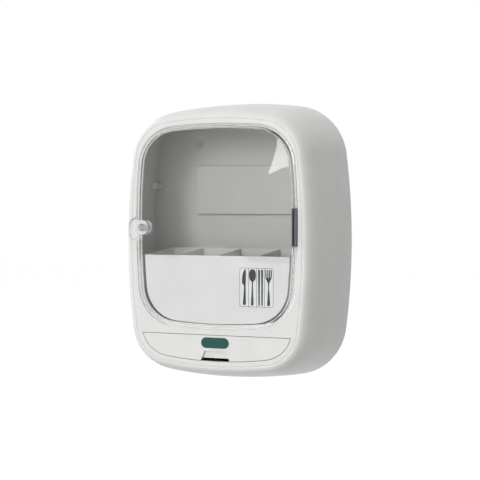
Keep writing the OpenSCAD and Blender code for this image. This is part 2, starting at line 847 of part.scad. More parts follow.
module knob_rivet() {
    knob_fore_y = skin_foot_y - knob_out;
    color([0.62, 0.64, 0.66]) {
        rod_y(knob_x, knob_up, rivet_r, front_y + flange_t, front_y + flange_t - rivet_t);
        rod_y(knob_x, knob_up, rivet_shank_r, front_y + flange_t - rivet_t / 2, knob_fore_y + rivet_t / 2);
        rod_y(knob_x, knob_up, rivet_r, knob_fore_y + rivet_t, knob_fore_y);
    }
}

module catch_magnet() {
    color([0.5, 0.51, 0.53])
        rod_y(knob_x, knob_up, magnet_r, magnet_rear_y, floor_y);
}

// Caddy and its dividers
caddy_fore_y = front_y + caddy_back;
caddy_rear_y = caddy_fore_y + caddy_d;

// Everything below the caddy's sloping top, less a drop.
module below_caddy_top(drop = 0) {
    translate([-body_w / 2, 0, 0])
        rotate([90, 0, 90])
            linear_extrude(body_w)
                polygon([
                    [caddy_fore_y - cut_over, -body_h],
                    [caddy_rear_y + cut_over, -body_h],
                    [caddy_rear_y + cut_over, caddy_top - drop + caddy_rise],
                    [caddy_fore_y - cut_over, caddy_top - drop]
                ]);
}

module caddy_bar(inset, rear_y, fore_y) {
    bar(raised(outline(caddy_line, inset), door_up), rear_y, fore_y);
}

module divider_guides() {
    for (k = [-1 : 1])
        for (side = [-1, 1])
            for (y = [
                [caddy_fore_y + caddy_wall / 2, caddy_fore_y + caddy_wall + divider_in + guide],
                [caddy_rear_y - caddy_wall - guide, caddy_rear_y - caddy_wall / 2]
            ])
                block(
                    [
                        k * divider_pitch + side * (divider_t / 2 + divider_play + guide / 2) - guide / 2,
                        k * divider_pitch + side * (divider_t / 2 + divider_play + guide / 2) + guide / 2
                    ],
                    y,
                    [-body_h, door_up]
                );
}

cell_half = door_w / 2 - door_flange - caddy_gap - caddy_wall;
cell_middles = [for (i = [-1, 1]) each [i * divider_pitch / 2, i * (divider_pitch + cell_half) / 2]];

module caddy_slots() {
    middle_y = (caddy_fore_y + caddy_rear_y) / 2;
    for (x = cell_middles)
        for (i = [-1, 0, 1])
            translate([
                x + i * caddy_slot_pitch - caddy_slot_w / 2,
                middle_y - caddy_slot_l / 2,
                deck_top - cut_over
            ])
                cube([caddy_slot_w, caddy_slot_l, caddy_slot_reach]);
}

module caddy() {
    color([0.93, 0.93, 0.92])
        difference() {
            intersection() {
                caddy_bar(0, caddy_rear_y, caddy_fore_y);
                below_caddy_top();
                union() {
                    difference() {
                        caddy_bar(-cut_over, caddy_rear_y, caddy_fore_y);
                        caddy_bar(caddy_wall, caddy_rear_y - caddy_wall, caddy_fore_y + caddy_wall);
                    }
                    divider_guides();
                }
            }
            caddy_slots();
        }
}

module caddy_label() {
    color([0.3, 0.31, 0.32])
        rounded_plate(label_x, label_z, label_w, label_h, label_r, caddy_fore_y, caddy_fore_y - label_t);
}

module divider(k) {
    x = k * divider_pitch;
    color([0.9, 0.9, 0.89])
        intersection() {
            caddy_bar(
                caddy_wall + divider_play,
                caddy_rear_y - caddy_wall - divider_play,
                caddy_fore_y + caddy_wall + divider_in
            );
            below_caddy_top(divider_play);
            block([x - divider_t / 2, x + divider_t / 2], [front_y, 0], [-body_h, body_h]);
        }
}

module divider_left() { divider(-1); }
module divider_middle() { divider(0); }
module divider_right() { divider(1); }

// Drip tray
tray_box_top = tray_top - tray_rim_drop;
tray_rear_y = front_y + tray_face_t + tray_d;
tray_line_in = flank_inset + tray_margin;
notch_foot = lower_edge(body_line, tray_line_in, 0);

module tray_bar(inset, rear_y, fore_y, top) {
    intersection() {
        bar(outline(body_line, tray_line_in + inset), rear_y, fore_y);
        block([-body_w / 2, body_w / 2], [fore_y - cut_over, rear_y + cut_over], [-body_h / 2, top]);
    }
}

// The notch is narrower at its top, with two round corners there.
module notch_cut() {
    translate([0, front_y + tray_face_t + tray_wall, 0])
        rotate([90, 0, 0])
            linear_extrude(tray_face_t + tray_wall + cut_over) {
                polygon([
                    [-notch_w / 2, notch_foot - cut_over],
                    [notch_w / 2, notch_foot - cut_over],
                    [notch_top_w / 2, notch_top - notch_r],
                    [notch_top_w / 2 - notch_r, notch_top],
                    [-notch_top_w / 2 + notch_r, notch_top],
                    [-notch_top_w / 2, notch_top - notch_r]
                ]);
                for (i = [-1, 1])
                    translate([i * (notch_top_w / 2 - notch_r), notch_top - notch_r])
                        circle(notch_r);
            }
}

// The housing behind the notch keeps the drip water in the tray.
module notch_housing(grow) {
    hood_z = notch_top - notch_face_h;
    w = notch_w / 2 + grow;
    block([-w, w], [front_y + tray_face_t / 2, front_y + notch_back + grow], [hood_z, notch_top + grow]);
    block([-w, w], [front_y + tray_face_t / 2, front_y + slot_d + grow], [notch_foot - cut_over, hood_z + grow]);
}

module drip_tray() {
    color([0.92, 0.92, 0.91])
        difference() {
            union() {
                tray_bar(0, front_y + tray_face_t, front_y, tray_top);
                difference() {
                    tray_bar(tray_in, tray_rear_y, front_y + tray_face_t / 2, tray_box_top);
                    tray_bar(tray_in + tray_wall, tray_rear_y - tray_wall, front_y + tray_face_t, tray_top + cut_over);
                }
                intersection() {
                    notch_housing(hood_t);
                    tray_bar(tray_in, tray_rear_y, front_y + tray_face_t / 2, tray_top);
                }
            }
            notch_cut();
            notch_housing(0);
        }
}

module tray_badge() {
    color([0.02, 0.4, 0.36])
        rounded_plate(0, badge_z, badge_w, badge_h, badge_h / 2 - eps, front_y, front_y - badge_t);
}

wall_plate();
adhesive_pads();
at_body() outer_shell();
at_body() back_panel();
at_body() deck();
at_body() cover_screws();
at_body() deck_screws();
at_body() screw_caps();
at_body() wall_pads();
at_body() hinge_bracket();
at_body() hinge_pin();
at_body() catch_magnet();
at_body() door_panel();
at_body() door_hinge();
at_body() door_knob();
at_body() knob_rivet();
at_body() caddy();
at_body() caddy_label();
at_body() divider_left();
at_body() divider_middle();
at_body() divider_right();
at_body() drip_tray();
at_body() tray_badge();
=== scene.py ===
"""Looks of the wall holder for chopsticks, spoons and ladles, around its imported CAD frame.

X runs to the viewer's right, the front faces -Y, Z is up and the wall is the plane Y = 0.
Sizes are in millimetres of that frame, and meshes are written in metres.
"""

from __future__ import annotations

import json
import logging
import math
from dataclasses import dataclass
from enum import Enum
from typing import Protocol, Sequence

import bmesh  # noqa: E402
import bpy  # noqa: E402
from mathutils import Matrix, Vector  # noqa: E402

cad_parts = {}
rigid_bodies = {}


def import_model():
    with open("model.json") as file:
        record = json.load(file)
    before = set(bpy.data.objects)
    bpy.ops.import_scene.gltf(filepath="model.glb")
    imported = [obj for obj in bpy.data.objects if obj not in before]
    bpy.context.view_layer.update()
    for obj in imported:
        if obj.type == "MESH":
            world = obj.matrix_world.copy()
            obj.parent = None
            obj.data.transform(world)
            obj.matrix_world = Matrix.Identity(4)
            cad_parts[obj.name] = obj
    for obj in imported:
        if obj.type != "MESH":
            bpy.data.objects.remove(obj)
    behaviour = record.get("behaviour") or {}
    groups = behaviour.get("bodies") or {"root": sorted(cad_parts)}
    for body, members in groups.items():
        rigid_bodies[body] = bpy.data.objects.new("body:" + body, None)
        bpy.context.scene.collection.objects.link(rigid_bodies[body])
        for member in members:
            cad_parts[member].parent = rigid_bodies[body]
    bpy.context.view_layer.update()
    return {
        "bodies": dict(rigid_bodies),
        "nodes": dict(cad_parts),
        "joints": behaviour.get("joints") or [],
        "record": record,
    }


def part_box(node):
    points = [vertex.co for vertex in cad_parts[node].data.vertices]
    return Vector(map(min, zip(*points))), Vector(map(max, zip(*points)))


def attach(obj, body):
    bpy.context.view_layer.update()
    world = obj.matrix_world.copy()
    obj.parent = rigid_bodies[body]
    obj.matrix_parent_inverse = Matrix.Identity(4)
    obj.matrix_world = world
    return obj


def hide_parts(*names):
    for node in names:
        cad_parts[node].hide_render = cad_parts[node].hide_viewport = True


MM = 0.001
BODY_Z = -63.0
REAR_Y = -0.8
FRONT_Y = -123.3
FLOOR_Y = -119.9
PLATE_BACK_Y = -116.3
BACK_REAR_Y = -3.2
BACK_FORE_Y = -5.7

Point = tuple[float, float, float]
Flat = tuple[float, float]
Profile = list[Flat]
Colour = tuple[float, float, float]

log = logging.getLogger("holder")


# Flat shapes -----------------------------------------------------------------


class Ringed(Protocol):
    """A flat shape that gives its edge at any inset, counted from the right upwards."""

    def ring(self, inset: float, y: float) -> list[Flat]:
        """Points (x, z) of the edge, drawn in by an inset, at a depth."""


@dataclass(frozen=True)
class Outline:
    """A rounded shape of eight arcs that run smoothly into each other."""

    half_width: float
    half_height: float
    side_radius: float
    end_radius: float
    corner_radius: float
    up: float
    side_steps: int = 28
    end_steps: int = 30
    corner_steps: int = 26

    def corner(self) -> Flat:
        """Middle of the upper right corner arc, about the shape's own middle."""
        side_x = self.half_width - self.side_radius
        end_z = self.half_height - self.end_radius
        side_r = self.side_radius - self.corner_radius
        end_r = self.end_radius - self.corner_radius
        apart = math.hypot(side_x, end_z)
        along = (-side_x / apart, end_z / apart)
        reach = (side_r**2 - end_r**2 + apart**2) / (2 * apart)
        off = math.sqrt(side_r**2 - reach**2)
        return side_x + reach * along[0] - off * along[1], reach * along[1] + off * along[0]

    def walk(self) -> list[tuple[Flat, Flat, float]]:
        """Middle, direction and radius of every point of the edge."""
        c_x, c_z = self.corner()
        side_x = self.half_width - self.side_radius
        end_z = self.half_height - self.end_radius
        a = math.atan2(c_z, c_x - side_x)
        b = math.atan2(c_z - end_z, c_x)
        half, turn = math.pi, 2 * math.pi
        arcs = [
            ((side_x, 0.0), self.side_radius, -a, a, self.side_steps),
            ((c_x, c_z), self.corner_radius, a, b, self.corner_steps),
            ((0.0, end_z), self.end_radius, b, half - b, self.end_steps),
            ((-c_x, c_z), self.corner_radius, half - b, half - a, self.corner_steps),
            ((-side_x, 0.0), self.side_radius, half - a, half + a, self.side_steps),
            ((-c_x, -c_z), self.corner_radius, half + a, half + b, self.corner_steps),
            ((0.0, -end_z), self.end_radius, half + b, turn - b, self.end_steps),
            ((c_x, -c_z), self.corner_radius, turn - b, turn - a, self.corner_steps),
        ]
        found = []
        for middle, radius, start, end, steps in arcs:
            for i in range(steps):
                t = start + (end - start) * i / steps
                found.append((middle, (math.cos(t), math.sin(t)), radius))
        return found

    def ring(self, inset: float = 0.0, y: float = 0.0) -> list[Flat]:
        """Points of the edge, drawn in by an inset."""
        return [
            (m[0] + (r - inset) * d[0], m[1] + (r - inset) * d[1] + self.up)
            for m, d, r in self.walk()
        ]

    def half_width_at(self, z: float, inset: float) -> float:
        """Half width at a height of the frame.

        Args:
            z: Height in the frame.
            inset: How far the edge is drawn in.

        Returns:
            Distance of the edge from the middle, or 0 past the shape's end.
        """
        c_x, c_z = self.corner()
        side_x = self.half_width - self.side_radius
        off = abs(z - self.up)
        edge = (self.side_radius - inset) * c_z / (self.side_radius - self.corner_radius)
        if off < edge:
            return side_x + math.sqrt((self.side_radius - inset) ** 2 - off**2)
        end_z = self.half_height - self.end_radius
        radius = self.corner_radius - inset
        x = c_x + math.sqrt(max(0.0, radius**2 - (off - c_z) ** 2))
        top = end_z + math.sqrt((self.end_radius - inset) ** 2 - x**2)
        if off <= top + 1e-6:
            return x
        return math.sqrt(max(0.0, (self.end_radius - inset) ** 2 - (off - end_z) ** 2))

    def foot_at(self, x: float, inset: float) -> float:
        """Height of the lower edge at a distance from the middle."""
        end_z = self.half_height - self.end_radius
        return self.up - end_z - math.sqrt((self.end_radius - inset) ** 2 - x**2)


@dataclass(frozen=True)
class LowerPart:
    """What lies of an outline below a line that may rise towards the rear."""

    outline: Outline
    base_inset: float
    top: float
    rise: float = 0.0
    rise_from: float = 0.0
    foot_steps: int = 120
    top_steps: int = 30

    def ring(self, inset: float = 0.0, y: float = 0.0) -> list[Flat]:
        """Points of the edge: the foot from left to right, then the top back to the left."""
        level = self.top + self.rise * (y - self.rise_from) - inset
        total = self.base_inset + inset
        edge = self.outline.ring(total)
        start = max(range(len(edge)), key=lambda i: edge[i][1])
        turned = edge[start:] + edge[:start]
        reach = self.outline.half_width_at(level, total)
        path = [(-reach, level), *[p for p in turned if p[1] < level - 1e-4], (reach, level)]
        foot = evenly(path, self.foot_steps)
        top = [
            (reach * (1 - 2 * i / self.top_steps), level) for i in range(1, self.top_steps)
        ]
        return foot + top


@dataclass(frozen=True)
class RoundBox:
    """A rectangle with round corners."""

    x: float
    z: float
    width: float
    height: float
    radius: float
    steps: int = 8

    def ring(self, inset: float = 0.0, y: float = 0.0) -> list[Flat]:
        """Points of the edge, drawn in by an inset."""
        radius = max(self.radius - inset, 0.02)
        w = self.width / 2 - inset - radius
        h = self.height / 2 - inset - radius
        found = []
        for k, (i, j) in enumerate([(1, 1), (-1, 1), (-1, -1), (1, -1)]):
            for n in range(self.steps + 1):
                t = (k + n / self.steps) * math.pi / 2
                found.append(
                    (self.x + i * w + radius * math.cos(t), self.z + j * h + radius * math.sin(t))
                )
        return found


@dataclass(frozen=True)
class Disc:
    """A circle."""

    x: float
    z: float
    radius: float
    steps: int = 64

    def ring(self, inset: float = 0.0, y: float = 0.0) -> list[Flat]:
        """Points of the edge, drawn in by an inset."""
        r = self.radius - inset
        turn = 2 * math.pi / self.steps
        return [
            (self.x + r * math.cos(turn * i), self.z + r * math.sin(turn * i))
            for i in range(self.steps)
        ]


def evenly(path: Sequence[Flat], steps: int) -> list[Flat]:
    """Points at equal distances along a path.

    Args:
        path: The corners of the path.
        steps: How many stretches the result has.

    Returns:
        steps + 1 points, the first and the last being the path's own.
    """
    reach = [0.0]
    for p, q in zip(path, path[1:]):
        reach.append(reach[-1] + math.dist(p, q))
    found, k = [], 0
    for i in range(steps + 1):
        want = reach[-1] * i / steps
        while k < len(path) - 2 and reach[k + 1] < want:
            k += 1
        span = reach[k + 1] - reach[k]
        t = 0.0 if span == 0 else (want - reach[k]) / span
        p, q = path[k], path[k + 1]
        found.append((p[0] + (q[0] - p[0]) * t, p[1] + (q[1] - p[1]) * t))
    return found


def quarter(start: Flat, end: Flat, flat_first: bool, steps: int = 4) -> Profile:
    """A quarter round between two points of a profile.

    Args:
        start: Inset and depth where it starts.
        end: Inset and depth where it ends.
        flat_first: Whether it leaves along the inset, and not along the depth.
        steps: How many stretches it has.

    Returns:
        The points, the two ends among them.
    """
    found = []
    for i in range(steps + 1):
        t = math.pi / 2 * i / steps
        s, c = math.sin(t), 1 - math.cos(t)
        u, v = (s, c) if flat_first else (c, s)
        found.append((start[0] + (end[0] - start[0]) * u, start[1] + (end[1] - start[1]) * v))
    return found


def plate_profile(fore: float, rear: float, fore_r: float, rear_r: float) -> Profile:
    """The profile of a plate with rounded front and rear edges."""
    return [
        *quarter((fore_r, fore), (0.0, fore + fore_r), True),
        *quarter((0.0, rear - rear_r), (rear_r, rear), False),
    ]


def pocket_profile(fore: float, rear: float, lip: float, floor: float, over: float = 1.5) -> Profile:
    """The profile of a cutter that leaves a rounded lip in front and a rounded floor.

    Args:
        fore: The plane of the face that is cut.
        rear: The plane of the floor.
        lip: Radius of the rounded lip.
        floor: Radius at the floor, or 0 for a cut right through.
        over: How far the cutter stands out in front.

    Returns:
        The profile from front to rear.
    """
    start = [(-lip, fore - over), *quarter((-lip, fore - 0.004), (0.0, fore + lip), True)]
    if floor <= 0:
        return [*start, (0.0, rear)]
    return [*start, *quarter((0.0, rear - floor), (floor, rear), False)]


# Solids ----------------------------------------------------------------------


class Join(Enum):
    """How two solids are put together."""

    CUT = "DIFFERENCE"
    ADD = "UNION"


class Solid:
    """A closed mesh of the scene, given in millimetres of the frame."""

    def __init__(
        self, name: str, points: Sequence[Point], faces: Sequence[Sequence[int]], weld: bool = True
    ) -> None:
        """Builds the mesh and its object.

        Args:
            name: The piece's name.
            points: Its vertices.
            faces: Its faces, as numbers of vertices.
            weld: Whether points at one place become one.
        """
        mesh = bpy.data.meshes.new(name)
        mesh.from_pydata([Vector(p) * MM for p in points], [], [list(f) for f in faces])
        self.object = bpy.data.objects.new(name, mesh)
        bpy.context.scene.collection.objects.link(self.object)
        if weld:
            self.outwards()

    @classmethod
    def loft(
        cls, name: str, shape: Ringed, profile: Profile, looped: bool = False
    ) -> "Solid":
        """A solid through the rings of a shape.

        Args:
            name: The piece's name.
            shape: The flat shape that gives the rings.
            profile: Inset and depth of each ring, from front to rear.
            looped: Whether the last ring runs back into the first.

        Returns:
            The closed solid.
        """
        rings = [[(x, y, z) for x, z in shape.ring(inset, y)] for inset, y in profile]
        return cls.through(name, rings, looped)

    @classmethod
    def through(
        cls, name: str, rings: Sequence[Sequence[Point]], looped: bool = False, weld: bool = True
    ) -> "Solid":
        """A solid through rings of equally many points, closed at both ends or looped."""
        n, m = len(rings[0]), len(rings)
        faces: list[list[int]] = []
        for k in range(m if looped else m - 1):
            a, b = k * n, ((k + 1) % m) * n
            faces += [[a + i, b + i, b + (i + 1) % n, a + (i + 1) % n] for i in range(n)]
        if not looped:
            faces += [list(range(n)), [(m - 1) * n + i for i in reversed(range(n))]]
        return cls(name, [p for ring in rings for p in ring], faces, weld)

    @classmethod
    def block(
        cls, name: str, x: Flat, y: Flat, z: Flat, edge: float = 0.0, steps: int = 2
    ) -> "Solid":
        """A block between pairs of planes, with rounded edges."""
        points = [(a, b, c) for a in x for b in y for c in z]
        faces = [[0, 1, 3, 2], [4, 6, 7, 5], [0, 4, 5, 1], [2, 3, 7, 6], [0, 2, 6, 4], [1, 5, 7, 3]]
        made = cls(name, points, faces)
        return made.round_edges(edge, steps) if edge > 0 else made

    @classmethod
    def upright(cls, name: str, x: float, y: float, profile: Profile, steps: int = 40) -> "Solid":
        """A turned solid about a line along Z, from its radii and heights going up."""
        turn = 2 * math.pi / steps
        rings = [
            [(x + r * math.cos(turn * i), y + r * math.sin(turn * i), z) for i in range(steps)]
            for r, z in profile
        ]
        return cls.through(name, rings)

    def outwards(self) -> None:
        """Turns all faces outwards."""
        mesh = bmesh.new()
        mesh.from_mesh(self.object.data)
        bmesh.ops.remove_doubles(mesh, verts=mesh.verts, dist=1e-8)
        bmesh.ops.recalc_face_normals(mesh, faces=mesh.faces)
        mesh.to_mesh(self.object.data)
        mesh.free()

    def round_edges(self, radius: float, steps: int = 2) -> "Solid":
        """Rounds every edge of a simple solid."""
        mesh = bmesh.new()
        mesh.from_mesh(self.object.data)
        bmesh.ops.bevel(
            mesh,
            geom=list(mesh.edges),
            offset=radius * MM,
            segments=steps,
            profile=0.5,
            affect="EDGES",
        )
        mesh.to_mesh(self.object.data)
        mesh.free()
        return self

    def moved(self, x: float, y: float, z: float) -> "Solid":
        """Moves the mesh itself."""
        self.object.data.transform(Matrix.Translation(Vector((x, y, z)) * MM))
        return self

    def bake(self) -> "Solid":
        """Makes the object's modifiers part of its mesh."""
        graph = bpy.context.evaluated_depsgraph_get()
        made = bpy.data.meshes.new_from_object(self.object.evaluated_get(graph))
        self.object.modifiers.clear()
        old = self.object.data
        self.object.data = made
        bpy.data.meshes.remove(old)
        return self

    def join(self, how: Join, *others: "Solid") -> "Solid":
        """Puts other solids together with this one, and removes them.

        Args:
            how: Whether they are cut away or added.
            others: The other solids.

        Returns:
            This solid.
        """
        for other in others:
            step = self.object.modifiers.new("join", "BOOLEAN")
            step.operation = how.value
            step.solver = "EXACT"
            step.object = other.object
            self.bake()
            bpy.data.objects.remove(other.object)
        return self

    def cut(self, *others: "Solid") -> "Solid":
        """Cuts other solids away."""
        return self.join(Join.CUT, *others)

    def add(self, *others: "Solid") -> "Solid":
        """Adds other solids."""
        return self.join(Join.ADD, *others)

    def beside(self, *others: "Solid") -> "Solid":
        """Takes in other solids that don't touch this one."""
        mesh = bmesh.new()
        for solid in (self, *others):
            mesh.from_mesh(solid.object.data)
        mesh.to_mesh(self.object.data)
        mesh.free()
        for other in others:
            bpy.data.objects.remove(other.object)
        return self

    def settle(self, sharp: float = 32.0) -> "Solid":
        """Shades the mesh smooth, with sharp edges past an angle and calm flat faces."""
        mesh = self.object.data
        mesh.shade_smooth()
        mesh.set_sharp_from_angle(angle=math.radians(sharp))
        step = self.object.modifiers.new("calm", "WEIGHTED_NORMAL")
        step.keep_sharp = True
        return self.bake()


# Geometry trees --------------------------------------------------------------


class GeometryTree:
    """A Geometry Nodes tree with named inputs, made part of a mesh when it is used."""

    def __init__(self, name: str) -> None:
        """Starts a tree with one geometry input and one geometry output."""
        self.tree = bpy.data.node_groups.new(name, "GeometryNodeTree")
        face = self.tree.interface
        face.new_socket("Geometry", in_out="INPUT", socket_type="NodeSocketGeometry")
        face.new_socket("Geometry", in_out="OUTPUT", socket_type="NodeSocketGeometry")
        self.source = self.tree.nodes.new("NodeGroupInput")
        self.ids: dict[str, str] = {}

    def ask(self, name: str, kind: str) -> bpy.types.NodeSocket:
        """Adds a named input.

        Args:
            name: Its name.
            kind: The type of its socket, without NodeSocket.

        Returns:
            The socket inside the tree that gives its value.
        """
        item = self.tree.interface.new_socket(
            name, in_out="INPUT", socket_type="NodeSocket" + kind
        )
        self.ids[name] = item.identifier
        return self.source.outputs[name]

    def node(self, kind: str, settings: dict[str, object], sockets: dict[object, object]) -> bpy.types.Node:
        """Adds a node.

        Args:
            kind: Its type.
            settings: Its properties, which are set first.
            sockets: The values or links of its inputs, by name or number.

        Returns:
            The node.
        """
        made = self.tree.nodes.new(kind)
        for key, value in settings.items():
            setattr(made, key, value)
        for key, value in sockets.items():
            if isinstance(value, bpy.types.NodeSocket):
                self.tree.links.new(value, made.inputs[key])
            else:
                made.inputs[key].default_value = value
        return made

    def math(self, operation: str, a: object, b: object) -> bpy.types.NodeSocket:
        """The result of a Math node."""
        return self.node("ShaderNodeMath", {"operation": operation}, {0: a, 1: b}).outputs[0]

    def close(self, result: bpy.types.NodeSocket) -> None:
        """Ends the tree in Realize Instances and Set Material."""
        paint = self.ask("Material", "Material")
        real = self.node("GeometryNodeRealizeInstances", {}, {0: result})
        dressed = self.node(
            "GeometryNodeSetMaterial", {}, {"Geometry": real.outputs[0], "Material": paint}
        )
        sink = self.tree.nodes.new("NodeGroupOutput")
        self.tree.links.new(dressed.outputs[0], sink.inputs[0])

    def use(self, solid: Solid, **values: object) -> Solid:
        """Runs the tree on a solid, with its inputs set by their identifiers.

        Args:
            solid: The solid that it changes.
            values: The inputs by name, with _ for a space.

        Returns:
            The same solid, with the result as its plain mesh.
        """
        step = solid.object.modifiers.new("tree", "NODES")
        step.node_group = self.tree
        for key, value in values.items():
            step[self.ids[key.replace("_", " ")]] = value
        return solid.bake()


def flank_tree() -> GeometryTree:
    """The rule of the shell: each ring is drawn in by a power of its share of the depth."""
    made = GeometryTree("shell_flank")
    draw = made.ask("Draw In", "Float")
    power = made.ask("Power", "Float")

    def attribute(name: str, kind: str) -> bpy.types.NodeSocket:
        """A named attribute of the rings."""
        node = made.node("GeometryNodeInputNamedAttribute", {"data_type": kind}, {"Name": name})
        return node.outputs[0]

    left = made.math("SUBTRACT", 1.0, attribute("share", "FLOAT"))
    bent = made.math("POWER", left, made.math("DIVIDE", 1.0, power))
    inset = made.math(
        "ADD", made.math("MULTIPLY", draw, made.math("SUBTRACT", 1.0, bent)), attribute("wall", "FLOAT")
    )
    offset = made.node(
        "ShaderNodeVectorMath",
        {"operation": "SCALE"},
        {0: attribute("outward", "FLOAT_VECTOR"), "Scale": made.math("MULTIPLY", inset, -1.0)},
    )
    shaped = made.node(
        "GeometryNodeSetPosition",
        {},
        {"Geometry": made.source.outputs[0], "Offset": offset.outputs[0]},
    )
    made.close(shaped.outputs[0])
    return made


def copies_tree() -> GeometryTree:
    """Copies of one shape on every point of a mesh."""
    made = GeometryTree("copies_on_points")
    shape = made.ask("Shape", "Object")
    size = made.ask("Size", "Float")
    info = made.node("GeometryNodeObjectInfo", {}, {"Object": shape})
    copies = made.node(
        "GeometryNodeInstanceOnPoints",
        {},
        {"Points": made.source.outputs[0], "Instance": info.outputs["Geometry"], "Scale": size},
    )
    made.close(copies.outputs[0])
    return made


def row_tree() -> GeometryTree:
    """A row of copies of one shape along a line, which are cut out of the mesh."""
    made = GeometryTree("row_of_cuts")
    shape = made.ask("Shape", "Object")
    count = made.ask("Count", "Int")
    start = made.ask("Start", "Vector")
    pitch = made.ask("Pitch", "Vector")
    info = made.node("GeometryNodeObjectInfo", {}, {"Object": shape})
    line = made.node(
        "GeometryNodeMeshLine",
        {"mode": "OFFSET"},
        {"Count": count, "Start Location": start, "Offset": pitch},
    )
    copies = made.node(
        "GeometryNodeInstanceOnPoints",
        {},
        {"Points": line.outputs[0], "Instance": info.outputs["Geometry"]},
    )
    real = made.node("GeometryNodeRealizeInstances", {}, {0: copies.outputs[0]})
    cut = made.node(
        "GeometryNodeMeshBoolean",
        {"operation": "DIFFERENCE", "solver": "EXACT"},
        {"Mesh 1": made.source.outputs[0], "Mesh 2": real.outputs[0]},
    )
    made.close(cut.outputs[0])
    return made


# Shader maths and finishes ---------------------------------------------------


class Value:
    """One number of a shader that takes part in sums."""

    def __init__(self, paint: "Paint", socket: bpy.types.NodeSocket) -> None:
        """Wraps a socket of a paint's tree."""
        self.paint = paint
        self.socket = socket

    def _math(self, operation: str, a: object, b: object) -> "Value":
        """The result of a Math node."""
        return Value(
            self.paint, self.paint.node("ShaderNodeMath", {"operation": operation}, {0: a, 1: b}).outputs[0]
        )

    def __add__(self, other: object) -> "Value":
        """This plus another."""
        return self._math("ADD", self, other)

    def __radd__(self, other: object) -> "Value":
        """Another plus this."""
        return self._math("ADD", other, self)

    def __sub__(self, other: object) -> "Value":
        """This less another."""
        return self._math("SUBTRACT", self, other)

    def __rsub__(self, other: object) -> "Value":
        """Another less this."""
        return self._math("SUBTRACT", other, self)

    def __mul__(self, other: object) -> "Value":
        """This times another."""
        return self._math("MULTIPLY", self, other)

    def __rmul__(self, other: object) -> "Value":
        """Another times this."""
        return self._math("MULTIPLY", other, self)


class Paint:
    """The nodes of one material round a Principled shader."""

    def __init__(self, name: str) -> None:
        """Starts a material with its output and shader."""
        self.material = bpy.data.materials.new(name)
        self.material.use_nodes = True
        self.tree = self.material.node_tree
        self.tree.nodes.clear()
        self.out = self.tree.nodes.new("ShaderNodeOutputMaterial")
        self.shader = self.tree.nodes.new("ShaderNodeBsdfPrincipled")
        self.tree.links.new(self.shader.outputs[0], self.out.inputs["Surface"])
        self.place = self.node("ShaderNodeTexCoord", {}, {}).outputs["Object"]

    def node(self, kind: str, settings: dict[str, object], sockets: dict[object, object]) -> bpy.types.Node:
        """Adds a node.

        Args:
            kind: Its type.
            settings: Its properties, set first; stops are a colour ramp's places and greys.
            sockets: The values or links of its inputs, by name or number.

        Returns:
            The node.
        """
        made = self.tree.nodes.new(kind)
        for key, value in settings.items():
            if key == "stops":
                band = made.color_ramp.elements
                for k, (at, grey) in enumerate(value):
                    item = band[k] if k < len(band) else band.new(at)
                    item.position = at
                    item.color = (grey, grey, grey, 1.0)
            else:
                setattr(made, key, value)
        for key, value in sockets.items():
            link = value.socket if isinstance(value, Value) else value
            if isinstance(link, bpy.types.NodeSocket):
                self.tree.links.new(link, made.inputs[key])
            else:
                made.inputs[key].default_value = link
        return made

    def noise(self, size: float, detail: float = 2.0, stretch: Point = (1.0, 1.0, 1.0)) -> Value:
        """Noise of a grain size in millimetres, stretched along the axes."""
        place = self.node(
            "ShaderNodeMapping", {}, {"Vector": self.place, "Scale": tuple(1 / s for s in stretch)}
        ).outputs[0]
        made = self.node(
            "ShaderNodeTexNoise", {}, {"Vector": place, "Scale": 1 / (size * MM), "Detail": detail}
        )
        return Value(self, made.outputs[0])

    def ramp(self, value: Value, low: float, high: float) -> Value:
        """A value that rises from 0 to 1 between two limits."""
        made = self.node(
            "ShaderNodeValToRGB", {"stops": [(low, 0.0), (high, 1.0)]}, {"Fac": value}
        )
        return Value(self, made.outputs[0])

    def blend(self, factor: object, first: Colour, second: Colour) -> bpy.types.NodeSocket:
        """A colour between two colours."""
        made = self.node(
            "ShaderNodeMix",
            {"data_type": "RGBA"},
            {"Factor": factor, 6: (*first, 1.0), 7: (*second, 1.0)},
        )
        return made.outputs[2]

    def feed(self, socket: str, value: object) -> None:
        """Sets or links one socket of the shader."""
        link = value.socket if isinstance(value, Value) else value
        if isinstance(link, bpy.types.NodeSocket):
            self.tree.links.new(link, self.shader.inputs[socket])
        else:
            self.shader.inputs[socket].default_value = link

    def emboss(self, height: Value, depth: float, strength: float = 1.0) -> None:
        """Bumps the surface by a height, with a depth in millimetres."""
        made = self.node(
            "ShaderNodeBump", {}, {"Height": height, "Distance": depth * MM, "Strength": strength}
        )
        self.feed("Normal", made.outputs[0])


class Finish(Protocol):
    """Something that makes a material."""

    name: str

    def material(self) -> bpy.types.Material:
        """The material."""


def shade(colour: Colour, factor: float) -> Colour:
    """A colour made lighter or darker."""
    return tuple(min(1.0, c * factor) for c in colour)


